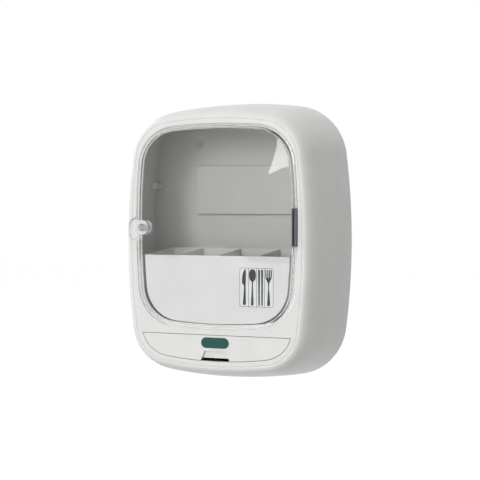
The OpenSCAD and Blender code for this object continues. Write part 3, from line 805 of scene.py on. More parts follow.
@dataclass(frozen=True)
class Moulded:
    """Moulded plastic: fine skin, slight flow marks and a soft sheen."""

    name: str
    colour: Colour
    roughness: float = 0.34
    grain: float = 0.5
    depth: float = 0.006
    patch: float = 38.0
    drift: float = 0.03
    coat: float = 0.0

    def material(self) -> bpy.types.Material:
        """The material, with drifting colour, handled gloss and a fine skin."""
        paint = Paint(self.name)
        cloud = paint.ramp(paint.noise(self.patch, 3.0), 0.3, 0.7)
        paint.feed(
            "Base Color",
            paint.blend(cloud, shade(self.colour, 1 - self.drift), shade(self.colour, 1 + self.drift / 2)),
        )
        wear = paint.ramp(paint.noise(9.0, 4.0), 0.35, 0.75)
        skin = paint.noise(self.grain, 2.0)
        paint.feed("Roughness", self.roughness + wear * 0.05 + (skin - 0.5) * 0.06)
        paint.feed("Coat Weight", self.coat)
        paint.feed("Coat Roughness", 0.18)
        paint.feed("IOR", 1.5)
        paint.emboss(skin + 0.5 * paint.noise(self.grain * 5, 1.0), self.depth)
        return paint.material


@dataclass(frozen=True)
class Clear:
    """Clear plastic that lets lamp light through, with faint rubbing marks."""

    name: str
    colour: Colour = (0.97, 0.985, 0.98)
    roughness: float = 0.025
    haze: float = 0.0
    ior: float = 1.49

    def material(self) -> bpy.types.Material:
        """The material; shadow rays pass it, so that what lies behind is lit."""
        paint = Paint(self.name)
        rub = paint.ramp(paint.noise(14.0, 5.0, (3.0, 1.0, 1.0)), 0.45, 0.8)
        paint.feed("Base Color", paint.blend(rub, self.colour, shade(self.colour, 0.985)))
        paint.feed("Roughness", self.roughness + rub * 0.02)
        paint.feed("Transmission Weight", 1.0 - self.haze)
        paint.feed("IOR", self.ior)
        paint.emboss(paint.noise(30.0, 2.0), 0.02, 0.5)
        path = paint.node("ShaderNodeLightPath", {}, {})
        light = Value(paint, path.outputs["Is Shadow Ray"]) + Value(paint, path.outputs["Is Diffuse Ray"])
        paint.feed("Alpha", 1 - light * 0.92)
        return paint.material


@dataclass(frozen=True)
class Metal:
    """Metal with fine marks of drawing or turning."""

    name: str
    colour: Colour
    roughness: float = 0.3
    stretch: Point = (1.0, 1.0, 1.0)
    mark: float = 0.12

    def material(self) -> bpy.types.Material:
        """The material."""
        paint = Paint(self.name)
        marks = paint.noise(self.mark, 3.0, self.stretch)
        tarnish = paint.ramp(paint.noise(2.5, 3.0), 0.4, 0.75)
        paint.feed("Base Color", paint.blend(tarnish, self.colour, shade(self.colour, 0.86)))
        paint.feed("Metallic", 1.0)
        paint.feed("Roughness", self.roughness + marks * 0.12 + tarnish * 0.06)
        paint.emboss(marks, 0.004)
        return paint.material


@dataclass(frozen=True)
class Soft:
    """Rubber or foam: matt, with pores or dust."""

    name: str
    colour: Colour
    pore: float = 0.4
    depth: float = 0.05

    def material(self) -> bpy.types.Material:
        """The material."""
        paint = Paint(self.name)
        pores = paint.noise(self.pore, 4.0)
        dust = paint.ramp(paint.noise(6.0, 4.0), 0.45, 0.8)
        paint.feed("Base Color", paint.blend(dust, self.colour, shade(self.colour, 1.35)))
        paint.feed("Roughness", 0.78 + pores * 0.12)
        paint.feed("IOR", 1.45)
        paint.emboss(pores, self.depth)
        return paint.material


@dataclass(frozen=True)
class Ink:
    """Printed ink with a dry, slightly uneven film."""

    name: str
    colour: Colour
    roughness: float = 0.45

    def material(self) -> bpy.types.Material:
        """The material."""
        paint = Paint(self.name)
        film = paint.noise(0.7, 4.0)
        paint.feed("Base Color", paint.blend(film, shade(self.colour, 0.85), shade(self.colour, 1.25)))
        paint.feed("Roughness", self.roughness + film * 0.1)
        paint.feed("IOR", 1.2)
        paint.emboss(film, 0.0005)
        return paint.material


WHITE_SHELL = Moulded("white_shell_plastic", (0.80, 0.80, 0.785), 0.33)
WHITE_TRAY = Moulded("white_tray_plastic", (0.80, 0.80, 0.785), 0.33)
WHITE_CADDY = Moulded("white_caddy_plastic", (0.79, 0.79, 0.78), 0.38)
MATT_BACK = Moulded("matt_back_plastic", (0.72, 0.715, 0.69), 0.5, 0.35, 0.012)
SATIN_INNER = Moulded("satin_inner_plastic", (0.75, 0.745, 0.73), 0.42)
BRACKET = Moulded("bracket_plastic", (0.72, 0.72, 0.7), 0.48, 0.35, 0.012)
CAP = Moulded("cap_plastic", (0.62, 0.62, 0.6), 0.42)
HINGE_GREY = Moulded("hinge_blue_grey_plastic", (0.14, 0.155, 0.18), 0.4, 0.3, 0.01)
TEAL = Moulded("teal_badge_plastic", (0.002, 0.075, 0.062), 0.3, 0.4, 0.003, 8.0, 0.1)
CLEAR_DOOR = Clear("clear_door_plastic")
CLEAR_KNOB = Clear("milky_knob_plastic", (0.93, 0.95, 0.95), 0.08, 0.35)
SCREW_STEEL = Metal("zinc_screw_steel", (0.52, 0.52, 0.54), 0.32)
PIN_STEEL = Metal("drawn_pin_steel", (0.6, 0.6, 0.61), 0.25, (1.0, 1.0, 12.0))
RIVET_STEEL = Metal("turned_rivet_steel", (0.42, 0.43, 0.44), 0.28)
MAGNET_STEEL = Metal("nickel_magnet_steel", (0.45, 0.45, 0.46), 0.22)
PAD_RUBBER = Soft("pad_rubber", (0.035, 0.035, 0.037))
PAD_FOAM = Soft("adhesive_foam", (0.09, 0.095, 0.105), 0.6, 0.12)
LABEL_FILM = Moulded("label_film", (0.84, 0.84, 0.83), 0.4, 0.3, 0.002)
LABEL_INK = Ink("label_dark_ink", (0.003, 0.003, 0.003))
LABEL_LINE = Ink("label_grey_ink", (0.07, 0.07, 0.07))


class Cupboard:
    """Makes each material once and hands it out again."""

    def __init__(self) -> None:
        """Starts with no materials."""
        self.made: dict[str, bpy.types.Material] = {}

    def get(self, finish: Finish) -> bpy.types.Material:
        """The material of a finish."""
        if finish.name not in self.made:
            self.made[finish.name] = finish.material()
        return self.made[finish.name]


# The object's parts ----------------------------------------------------------

BODY_LINE = Outline(140.0, 180.0, 894.0, 515.0, 72.0, BODY_Z)
DOOR_LINE = Outline(107.2, 127.1, 923.0, 630.0, 50.0, BODY_Z + 20.0)
CADDY_LINE = Outline(97.7, 120.6, 923.0, 630.0, 45.5, BODY_Z + 20.0)


@dataclass
class Workshop:
    """What the parts share: the loaded frame, the materials and the geometry trees."""

    frame: dict[str, object]
    cupboard: Cupboard
    flank: GeometryTree
    copies: GeometryTree
    row: GeometryTree

    def dress(self, solid: Solid, finish: Finish) -> Solid:
        """Gives a solid one finish all over."""
        solid.object.data.materials.clear()
        solid.object.data.materials.append(self.cupboard.get(finish))
        return solid

    def seat(self, solid: Solid, body: str, slot: str, *nodes: str) -> Solid:
        """Puts a finished piece on its body, in place of CAD nodes.

        Args:
            solid: The finished piece.
            body: The body that it rides on.
            slot: The record's material slot; not used.
            nodes: The CAD nodes that it stands for.

        Returns:
            The piece.
        """
        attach(solid.object, body)
        if nodes:
            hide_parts(*nodes)
        log.info("%s: %d faces on %s", solid.object.name, len(solid.object.data.polygons), body)
        return solid

    def carry_over(self, node: str, finish: Finish) -> None:
        """Gives a CAD node a better material."""
        thing = self.frame["nodes"][node]
        thing.data.materials.clear()
        thing.data.materials.append(self.cupboard.get(finish))
        log.info("%s: carried over", node)

    def spread(
        self, name: str, shape: Solid, sites: Sequence[Point], finish: Finish, size: float = 1.0
    ) -> Solid:
        """Copies of a shape on a list of sites, through the tree for copies.

        Args:
            name: Name of the piece.
            shape: One copy, about the origin.
            sites: Where the copies go.
            finish: Their finish.
            size: How much larger than the shape they are.

        Returns:
            The copies as one piece.
        """
        made = Solid(name, sites, [])
        self.copies.use(made, Shape=shape.object, Size=size, Material=self.cupboard.get(finish))
        bpy.data.objects.remove(shape.object)
        return made


@dataclass
class Housing:
    """The shell with its rim, front face, openings and everything fixed to it."""

    shop: Workshop
    depth: float = 122.5
    draw_in: float = 26.3
    power: float = 2.57
    wall: float = 3.0
    plate: float = 7.0
    rings: int = 46
    lining_rings: int = 16
    rim: float = 0.7
    tray_margin: float = 7.0
    tray_gap: float = 0.6
    tray_top: float = -114.7
    knob: tuple[float, float, float] = (-97.0, 18.5, 9.3)
    scoop: tuple[float, float, float] = (-106.0, 16.1, 15.0)
    screw_up: float = 72.0

    def cup(self) -> Solid:
        """The shell's plain cup, shaped by the flank's rule."""
        rings = []
        for i in range(self.rings + 1):
            share = 1 - (i / self.rings) ** self.power
            rings.append((share, 0.0, REAR_Y - share * self.depth))
        rings.pop()
        for inset, y in quarter((0.0, REAR_Y - self.rim), (self.rim, REAR_Y), False):
            rings.append((0.0, inset, y))
        for inset, y in quarter((self.wall - self.rim, REAR_Y), (self.wall, REAR_Y - self.rim), True):
            rings.append((0.0, inset, y))
        for i in range(1, self.lining_rings + 1):
            share = 1 - (1 - i / self.lining_rings) ** self.power
            rings.append((share, self.wall, REAR_Y - share * (self.depth - self.plate)))
        walk = BODY_LINE.walk()
        flat = BODY_LINE.ring(0.0)
        made = Solid.through(
            "shell_body", [[(x, y, z) for x, z in flat] for _, _, y in rings], weld=False
        )
        mesh = made.object.data
        shares = [s for s, _, _ in rings for _ in flat]
        walls = [w * MM for _, w, _ in rings for _ in flat]
        outwards = [c for _ in rings for _, d, _ in walk for c in (d[0], 0.0, d[1])]
        mesh.attributes.new("share", "FLOAT", "POINT").data.foreach_set("value", shares)
        mesh.attributes.new("wall", "FLOAT", "POINT").data.foreach_set("value", walls)
        mesh.attributes.new("outward", "FLOAT_VECTOR", "POINT").data.foreach_set("vector", outwards)
        self.shop.flank.use(
            made,
            Draw_In=self.draw_in * MM,
            Power=self.power,
            Material=self.shop.cupboard.get(WHITE_SHELL),
        )
        for name in ("share", "wall", "outward"):
            made.object.data.attributes.remove(made.object.data.attributes[name])
        made.outwards()
        return made

    def door_cut(self) -> Solid:
        """What the rebate and the opening take out of the front."""
        gap, flange, lip = 0.5, 5.5, 0.6
        return Solid.loft(
            "door_cut",
            DOOR_LINE,
            [
                (-gap - lip, FRONT_Y - 1.5),
                *quarter((-gap - lip, FRONT_Y - 0.004), (-gap, FRONT_Y + lip), True),
                *quarter((-gap, FLOOR_Y - 0.4), (-gap + 0.4, FLOOR_Y), False),
                *quarter((flange - 0.5, FLOOR_Y), (flange, FLOOR_Y + 0.5), True),
                *quarter((flange, PLATE_BACK_Y - 0.8), (flange - 0.8, PLATE_BACK_Y + 0.004), False),
                (flange - 0.8, PLATE_BACK_Y + 1.5),
            ],
        )

    def crease(self) -> Profile:
        """The profile of the fine groove between the flank and the front face."""
        return [
            (self.draw_in + i, FRONT_Y + d)
            for i, d in ((-1.5, -0.4), (1.5, -0.4), (1.2, 0.05), (0.15, 0.8), (-0.15, 0.8), (-1.2, 0.05))
        ]

    def shell(self) -> Solid:
        """The finished shell."""
        made = self.cup()
        made.cut(self.door_cut())
        boss_z = self.knob[1] + BODY_Z
        boss = Solid.loft(
            "boss", Disc(self.knob[0], boss_z, self.knob[2]),
            plate_profile(FLOOR_Y + 0.02, PLATE_BACK_Y - 0.02, 0.4, 0.4)
        )
        made.add(boss)
        window = LowerPart(
            BODY_LINE,
            self.draw_in + self.tray_margin - self.tray_gap,
            self.tray_top + self.tray_gap + BODY_Z,
        )
        made.cut(
            Solid.loft("tray_cut", window, pocket_profile(FRONT_Y, PLATE_BACK_Y + 1.5, 0.25, 0.0)),
            Solid.loft(
                "scoop_cut",
                Disc(self.scoop[0], self.scoop[1] + BODY_Z, self.scoop[2], 96),
                pocket_profile(FRONT_Y, FRONT_Y + 5.0, 0.7, 2.5),
            ),
            Solid.loft(
                "magnet_cut", Disc(self.knob[0], boss_z, 4.1), [(0.0, FLOOR_Y - 1.0), (0.0, FLOOR_Y + 2.4)]
            ),
            Solid.block(
                "hinge_cut", (101.0, 107.69), (FRONT_Y, FLOOR_Y + 1.2), (-66.3, -19.7)
            ),
        )
        made.cut(Solid.loft("crease", BODY_LINE, self.crease(), True))
        for k, (x, z) in enumerate(self.screw_sites()):
            made.add(Solid.loft(f"boss_{k}", Disc(x, z, 5.0, 40), plate_profile(-26.0, -6.0, 0.8, 0.3)))
        made.settle()
        self.shop.dress(made, WHITE_SHELL)
        return self.shop.seat(made, "housing", "shell_plastic", "outer_shell")

    def inset_at(self, y: float) -> float:
        """How far the flank is drawn in at a depth."""
        share = min(1.0, max(0.0, (REAR_Y - y) / self.depth))
        return self.draw_in * (1 - (1 - share) ** (1 / self.power))

    def screw_sites(self) -> list[Flat]:
        """Places of the six cover screws."""
        inset = self.inset_at(-26.0) + self.wall + 5.0 - 1.2
        z = BODY_Z
        side = BODY_LINE.half_width_at(z + self.screw_up, 0.0) - inset
        end = BODY_LINE.half_height - inset
        return [(i * side, z + k * self.screw_up) for i in (-1, 1) for k in (-1, 1)] + [
            (0.0, z + k * end) for k in (-1, 1)
        ]

    def back_cover(self) -> Solid:
        """The cover that closes the back, with the bracket's pocket and four ribs."""
        inset = self.wall + self.inset_at(BACK_FORE_Y) + 0.3
        made = Solid.loft(
            "back_cover", BODY_LINE,
            [(i + inset, y) for i, y in plate_profile(BACK_FORE_Y, BACK_REAR_Y, 0.4, 0.4)]
        )
        made.add(
            Solid.block(
                "tub", (-72.0, 72.0), (-13.0, -4.4), (-28.8 + 63 + BODY_Z, 35.8 + 63 + BODY_Z), 1.0, 3
            )
        )
        low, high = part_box("deck")
        rib_top = low.z / MM
        tray_top = BODY_LINE.foot_at(42.0, self.draw_in + self.tray_margin + 1.5) - 0.3
        for x, top, tall in ((85.0, rib_top, 8.0), (45.0, tray_top, 4.5)):
            for i in (-1, 1):
                made.add(
                    Solid.block(
                        "rib", (i * x - 3.0, i * x + 3.0), (PLATE_BACK_Y + 0.3, -4.4), (top - tall, top), 0.4
                    )
                )
        made.cut(
            Solid.block("tub_room", (-70.0, 70.0), (-11.0, BACK_FORE_Y), (-26.8, 33.8)),
            Solid.block("tub_mouth", (-70.0, 70.0), (BACK_FORE_Y - 0.01, -2.0), (-26.8, 26.8)),
        )
        made.settle()
        self.shop.dress(made, MATT_BACK)
        return self.shop.seat(made, "housing", "back_plastic", "back_panel")

    def caps(self) -> Solid:
        """The two round caps on the back wall."""
        y = BACK_FORE_Y
        cap = Solid.loft(
            "cap",
            Disc(0.0, 0.0, 4.5, 56),
            [
                (2.9, -0.9), *quarter((2.6, -0.9), (2.3, -1.1), True),
                *quarter((1.6, -1.6), (0.0, -0.7), True),
                (0.0, 0.0), (2.0, 0.0), (2.0, 2.5),
            ],
        )
        sites = [(i * 70.0, y, 127.5 + BODY_Z) for i in (-1, 1)]
        made = self.shop.spread("wall_caps", cap, sites, CAP)
        made.settle()
        return self.shop.seat(made, "housing", "cap_plastic", "screw_caps")

    def screws(self) -> None:
        """The cover screws behind."""
        head = Solid.loft(
            "head",
            Disc(0.0, 0.0, 3.2, 40),
            [
                (1.7, -14.0 + 1.4), (1.7, 0.0), (0.0, 0.0), (0.0, 0.6),
                *quarter((0.0, 0.7), (1.5, 1.6), False), (2.4, 1.6)
            ],
        )
        long, slim = (-1.6, 1.6), (-0.28, 0.28)
        slots = [Solid.block("slot", x, (0.7, 2.5), z) for x, z in ((long, slim), (slim, long))]
        head.cut(*slots)
        sites = [(x, BACK_REAR_Y, z) for x, z in self.screw_sites()]
        made = self.shop.spread("cover_screw_set", head, sites, SCREW_STEEL)
        made.settle()
        self.shop.seat(made, "housing", "screw_steel", "cover_screws")

    def pads(self) -> Solid:
        """The two rubber pads that keep the back off the wall."""
        pad = Solid.loft(
            "pad", Disc(0.0, 0.0, 9.0, 48),
            [
                *quarter((0.0, -3.2), (0.0, -0.9), True, 1), *quarter((0.0, -0.9), (0.9, 0.0), False),
                (2.6, 0.0), (3.2, -0.35), (8.6, -0.35)
            ]
        )
        made = self.shop.spread(
            "wall_bumpers", pad, [(i * 80.0, 0.0, -118.0 + BODY_Z) for i in (-1, 1)], PAD_RUBBER
        )
        made.settle()
        return self.shop.seat(made, "housing", "pad_rubber", "wall_pads")

    def hinge(self) -> None:
        """The hinge's fixed bracket and its pin."""
        x, y, z = 105.3, -123.7, BODY_Z + 20.0
        half, lug = 23.0, 5.5
        made = Solid.block(
            "hinge_mount", (101.95, 107.4), (FLOOR_Y, FLOOR_Y + 1.2), (z - half, z + half), 0.2
        )
        for k in (-1, 1):
            low = z - half if k < 0 else z + half - lug
            drum = Solid.upright(
                "lug", x, y, [(2.0, low), (2.3, low + 0.3), (2.3, low + lug - 0.3), (2.0, low + lug)]
            )
            foot = Solid.block(
                "foot", (x - 2.28, x + 2.28), (y, FLOOR_Y + 0.6), (low + 0.02, low + lug - 0.02), 0.15
            )
            made.add(drum.add(foot))
        made.cut(Solid.upright("hole", x, y, [(1.22, z - half - 1.0), (1.22, z + half + 1.0)]))
        made.settle()
        self.shop.dress(made, HINGE_GREY)
        self.shop.seat(made, "housing", "hinge_plastic", "hinge_bracket")
        pin = Solid.upright(
            "hinge_wire", x, y,
            [(0.9, z - half), (1.2, z - half + 0.3), (1.2, z + half - 0.3), (0.9, z + half)]
        )
        pin.settle()
        self.shop.dress(pin, PIN_STEEL)
        self.shop.seat(pin, "housing", "pin_steel", "hinge_pin")

    def build(self) -> None:
        """All pieces of the housing."""
        self.shell()
        self.back_cover()
        self.caps()
        self.screws()
        self.pads()
        self.hinge()
        self.shop.carry_over("deck", SATIN_INNER)
        self.shop.carry_over("deck_screws", SCREW_STEEL)
        self.shop.carry_over("catch_magnet", MAGNET_STEEL)
        self.shop.carry_over("wall_plate", BRACKET)
        self.shop.carry_over("adhesive_pads", PAD_FOAM)


@dataclass
class Door:
    """The clear door with its knob, tab, rivet and hinge barrel."""

    shop: Workshop
    foot: float = 2.5
    flange_t: float = 2.4
    skin: float = 2.2
    rise: float = 6.0
    crown: float = 3.4
    step: float = 3.0
    steps: int = 9
    crown_rings: int = 22

    def crown_rows(self, inner: float) -> list[list[Point]]:
        """Rings of the crowned skin from its middle to its foot, set back by an inner offset."""
        edge = DOOR_LINE.ring(self.foot + self.step)
        foot_y = FRONT_Y - self.rise
        up = DOOR_LINE.up
        rows = []
        for i in range(1, self.crown_rings + 1):
            share = i / self.crown_rings
            y = foot_y - self.crown * (1 - share * share) + inner
            rows.append([(x * share, y, up + (z - up) * share) for x, z in edge])
        return rows

    def panel(self) -> Solid:
        """The clear panel: flange, step and crowned skin."""
        foot_y = FRONT_Y - self.rise
        rear = FRONT_Y + self.flange_t

        def rows(profile: Profile) -> list[list[Point]]:
            """Rings of the door's outline."""
            return [[(x, y, z) for x, z in DOOR_LINE.ring(inset)] for inset, y in profile]

        outer_step = quarter((self.foot + self.step, foot_y), (self.foot, FRONT_Y - 1.0), True, self.steps)
        fillet = quarter((self.foot, FRONT_Y - 0.7), (self.foot - 0.7, FRONT_Y), False, 3)
        edge = [
            *quarter((0.35, FRONT_Y), (0.0, FRONT_Y + 0.35), True, 3),
            *quarter((0.0, rear - 0.35), (0.35, rear), False, 3)
        ]
        inner_step = quarter(
            (self.foot + self.skin, rear), (self.foot + self.step, foot_y + self.skin), False, self.steps
        )
        rings = [
            *self.crown_rows(0.0),
            *rows(outer_step[1:]),
            *rows(fillet),
            *rows(edge),
            *rows(inner_step),
            *list(reversed(self.crown_rows(self.skin)))[1:],
        ]
        made = Solid.through("clear_panel", rings)
        knob = Disc(-97.0, 18.5 + BODY_Z, 9.4, 72)
        made.cut(
            Solid.loft("knob_hole", knob, [(0.0, FRONT_Y - 15.0), (0.0, rear + 1.0)]),
            Solid.block("leaf_cut", (102.1, 108.5), (foot_y - 1.0, rear + 1.0), (-66.3, -19.7)),
        )
        made.settle()
        self.shop.dress(made, CLEAR_DOOR)
        return self.shop.seat(made, "door", "clear_plastic", "door_panel")

    def knob(self) -> Solid:
        """The clear knob with its finger tab."""
        x, z = -97.0, 18.5 + BODY_Z
        rear, fore = FRONT_Y + self.flange_t, FRONT_Y - self.rise - 1.0
        made = Solid.loft(
            "clear_knob",
            Disc(x, z, 9.3, 72),
            [(5.0, fore), *quarter((1.6, fore), (0.0, fore + 1.6), True, 6), (0.0, rear - 0.3), (0.3, rear)],
        )
        tab = RoundBox(-108.95, 16.1 + BODY_Z, 8.3, 23.0, 3.8, 10)
        made.add(Solid.loft("tab", tab, plate_profile(FRONT_Y - 2.7, FRONT_Y - 0.5, 0.7, 0.5)))
        made.cut(
            Solid.loft("rivet_hole", Disc(x, z, 1.7, 32), [(0.0, rear + 1.0), (0.0, fore - 1.0)][::-1]),
            Solid.loft("rear_seat", Disc(x, z, 4.7, 48), [(0.0, rear - 1.2), (0.0, rear + 1.0)]),
            Solid.loft("fore_seat", Disc(x, z, 4.7, 48), [(0.0, fore - 1.0), (0.0, fore + 1.2)]),
        )
        made.settle()
        self.shop.dress(made, CLEAR_KNOB)
        return self.shop.seat(made, "door", "knob_plastic", "door_knob")

    def rivet(self) -> Solid:
        """The rivet with its ringed head."""
        x, z = -97.0, 18.5 + BODY_Z
        rear, fore = FRONT_Y + self.flange_t, FRONT_Y - self.rise - 1.0
        made = Solid.loft(
            "knob_stud",
            Disc(x, z, 4.6, 56),
            [
                (4.5, fore + 0.02), *quarter((3.9, fore + 0.05), (3.1, fore + 0.55), True, 4),
                (2.7, fore + 0.6),
                *quarter((2.4, fore + 0.6), (2.1, fore + 0.15), True, 3), (1.2, fore),
                *quarter((0.6, fore), (0.0, fore + 0.5), True, 4),
                (0.0, fore + 1.2), (3.0, fore + 1.2), (3.0, rear - 1.2), (0.0, rear - 1.2),
                *quarter((0.0, rear - 0.4), (0.4, rear), False, 3),
            ],
        )
        made.settle()
        self.shop.dress(made, RIVET_STEEL)
        return self.shop.seat(made, "door", "rivet_steel", "knob_rivet")

    def barrel(self) -> Solid:
        """The hinge's turning barrel with its leaf."""
        x, y, z = 105.3, -123.7, BODY_Z + 20.0
        half = 17.2
        made = Solid.upright(
            "hinge_leaf", x, y,
            [(2.0, z - half), (2.3, z - half + 0.3), (2.3, z + half - 0.3), (2.0, z + half)]
        )
        made.add(
            Solid.block(
                "leaf", (x - 3.1, x), (FRONT_Y, FRONT_Y + 2.1), (z - half + 0.02, z + half - 0.02), 0.2
            ),
            Solid.block(
                "stop", (x - 3.15, x - 2.33), (FRONT_Y - 5.9, FRONT_Y + 2.12), (z - 22.95, z + 22.95), 0.15
            ),
        )
        made.cut(Solid.upright("hole", x, y, [(1.26, z - 30.0), (1.26, z + 30.0)]))
        made.settle()
        self.shop.dress(made, HINGE_GREY)
        return self.shop.seat(made, "door", "hinge_plastic", "door_hinge")

    def build(self) -> None:
        """All pieces of the door."""
        self.panel()
        self.knob()
        self.rivet()
        self.barrel()


@dataclass
class Caddy:
    """The lift-out caddy with its label and three dividers."""

    shop: Workshop
    fore: float = -120.3
    rear: float = -34.3
    wall: float = 2.0
    top: float = -16.0 + BODY_Z
    rise: float = 6.5
    pitch: float = 53.5

    def slope(self) -> float:
        """Rise of the top for each millimetre of depth."""
        return self.rise / (self.rear - self.fore + 2.0)

    def part(self, inset: float, drop: float) -> LowerPart:
        """The caddy's section below its sloping top, drawn in and lowered."""
        return LowerPart(CADDY_LINE, inset, self.top - drop, self.slope(), self.fore - 1.0)

    def bin(self) -> Solid:
        """The bin with its guide ribs and drain slots."""
        made = Solid.loft("caddy_bin", self.part(0.0, 0.0), plate_profile(self.fore, self.rear, 1.0, 1.2))
        room = self.part(self.wall, -30.0)
        made.cut(
            Solid.loft(
                "room",
                room,
                plate_profile(self.fore + self.wall, self.rear - self.wall, 2.5, 2.5),
            )
        )
        for k in (-1, 0, 1):
            for side in (-1, 1):
                x = k * self.pitch + side * (0.8 + 0.3 + 0.7)
                foot = CADDY_LINE.foot_at(abs(x) + 0.7, self.wall) - 0.6
                for y0, y1 in ((self.fore + 1.0, self.fore + 5.9), (self.rear - 3.4, self.rear - 1.0)):
                    top = self.top + self.slope() * (y0 - self.fore + 1.0) - 0.4
                    made.add(Solid.block("guide", (x - 0.7, x + 0.7), (y0, y1), (foot, top), 0.15, 1))
        slot = Solid.loft("slot", RoundBox(0.0, 0.0, 4.0, 52.0, 1.9, 6), [(0.0, 0.0), (0.0, 30.0)])
        slot.object.data.transform(Matrix.Rotation(math.radians(90), 4, "X"))
        slot.moved(0.0, (self.fore + self.rear) / 2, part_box("deck")[1].z / MM - 1.0 - 30.0 + 30.0)
        cell = CADDY_LINE.half_width - self.wall
        for x in (-(self.pitch + cell) / 2, -self.pitch / 2, self.pitch / 2, (self.pitch + cell) / 2):
            self.shop.row.use(
                made,
                Shape=slot.object,
                Count=3,
                Start=(MM * (x - 11.0), 0.0, 0.0),
                Pitch=(MM * 11.0, 0.0, 0.0),
                Material=self.shop.cupboard.get(WHITE_CADDY),
            )
        bpy.data.objects.remove(slot.object)
        made.settle()
        self.shop.dress(made, WHITE_CADDY)
        return self.shop.seat(made, "caddy", "caddy_plastic", "caddy")

    def dividers(self) -> None:
        """The three dividers that drop in between the guide ribs."""
        gap = self.wall + 0.3
        for k, name in ((-1, "divider_left"), (0, "divider_middle"), (1, "divider_right")):
            x = k * self.pitch
            foot = CADDY_LINE.foot_at(abs(x), gap) + (0.15 if k else 0.0)
            y0, y1 = self.fore + self.wall + 2.5, self.rear - gap
            top = [self.top - 0.3 + self.slope() * (y - self.fore + 1.0) for y in (y0, y1)]
            points = [
                (x + i, y, z)
                for i in (-0.8, 0.8)
                for y, t in ((y0, top[0]), (y1, top[1]))
                for z in (foot, t)
            ]
            faces = [[0, 1, 3, 2], [4, 6, 7, 5], [0, 4, 5, 1], [2, 3, 7, 6], [0, 2, 6, 4], [1, 5, 7, 3]]
            made = Solid(name + "_plate", points, faces).round_edges(0.45, 3)
            made.settle()
            self.shop.dress(made, SATIN_INNER)
            self.shop.seat(made, name, "inner_plastic", name)

    def build(self) -> None:
        """All pieces of the caddy."""
        self.bin()
        self.dividers()
        Label(self.shop).build()


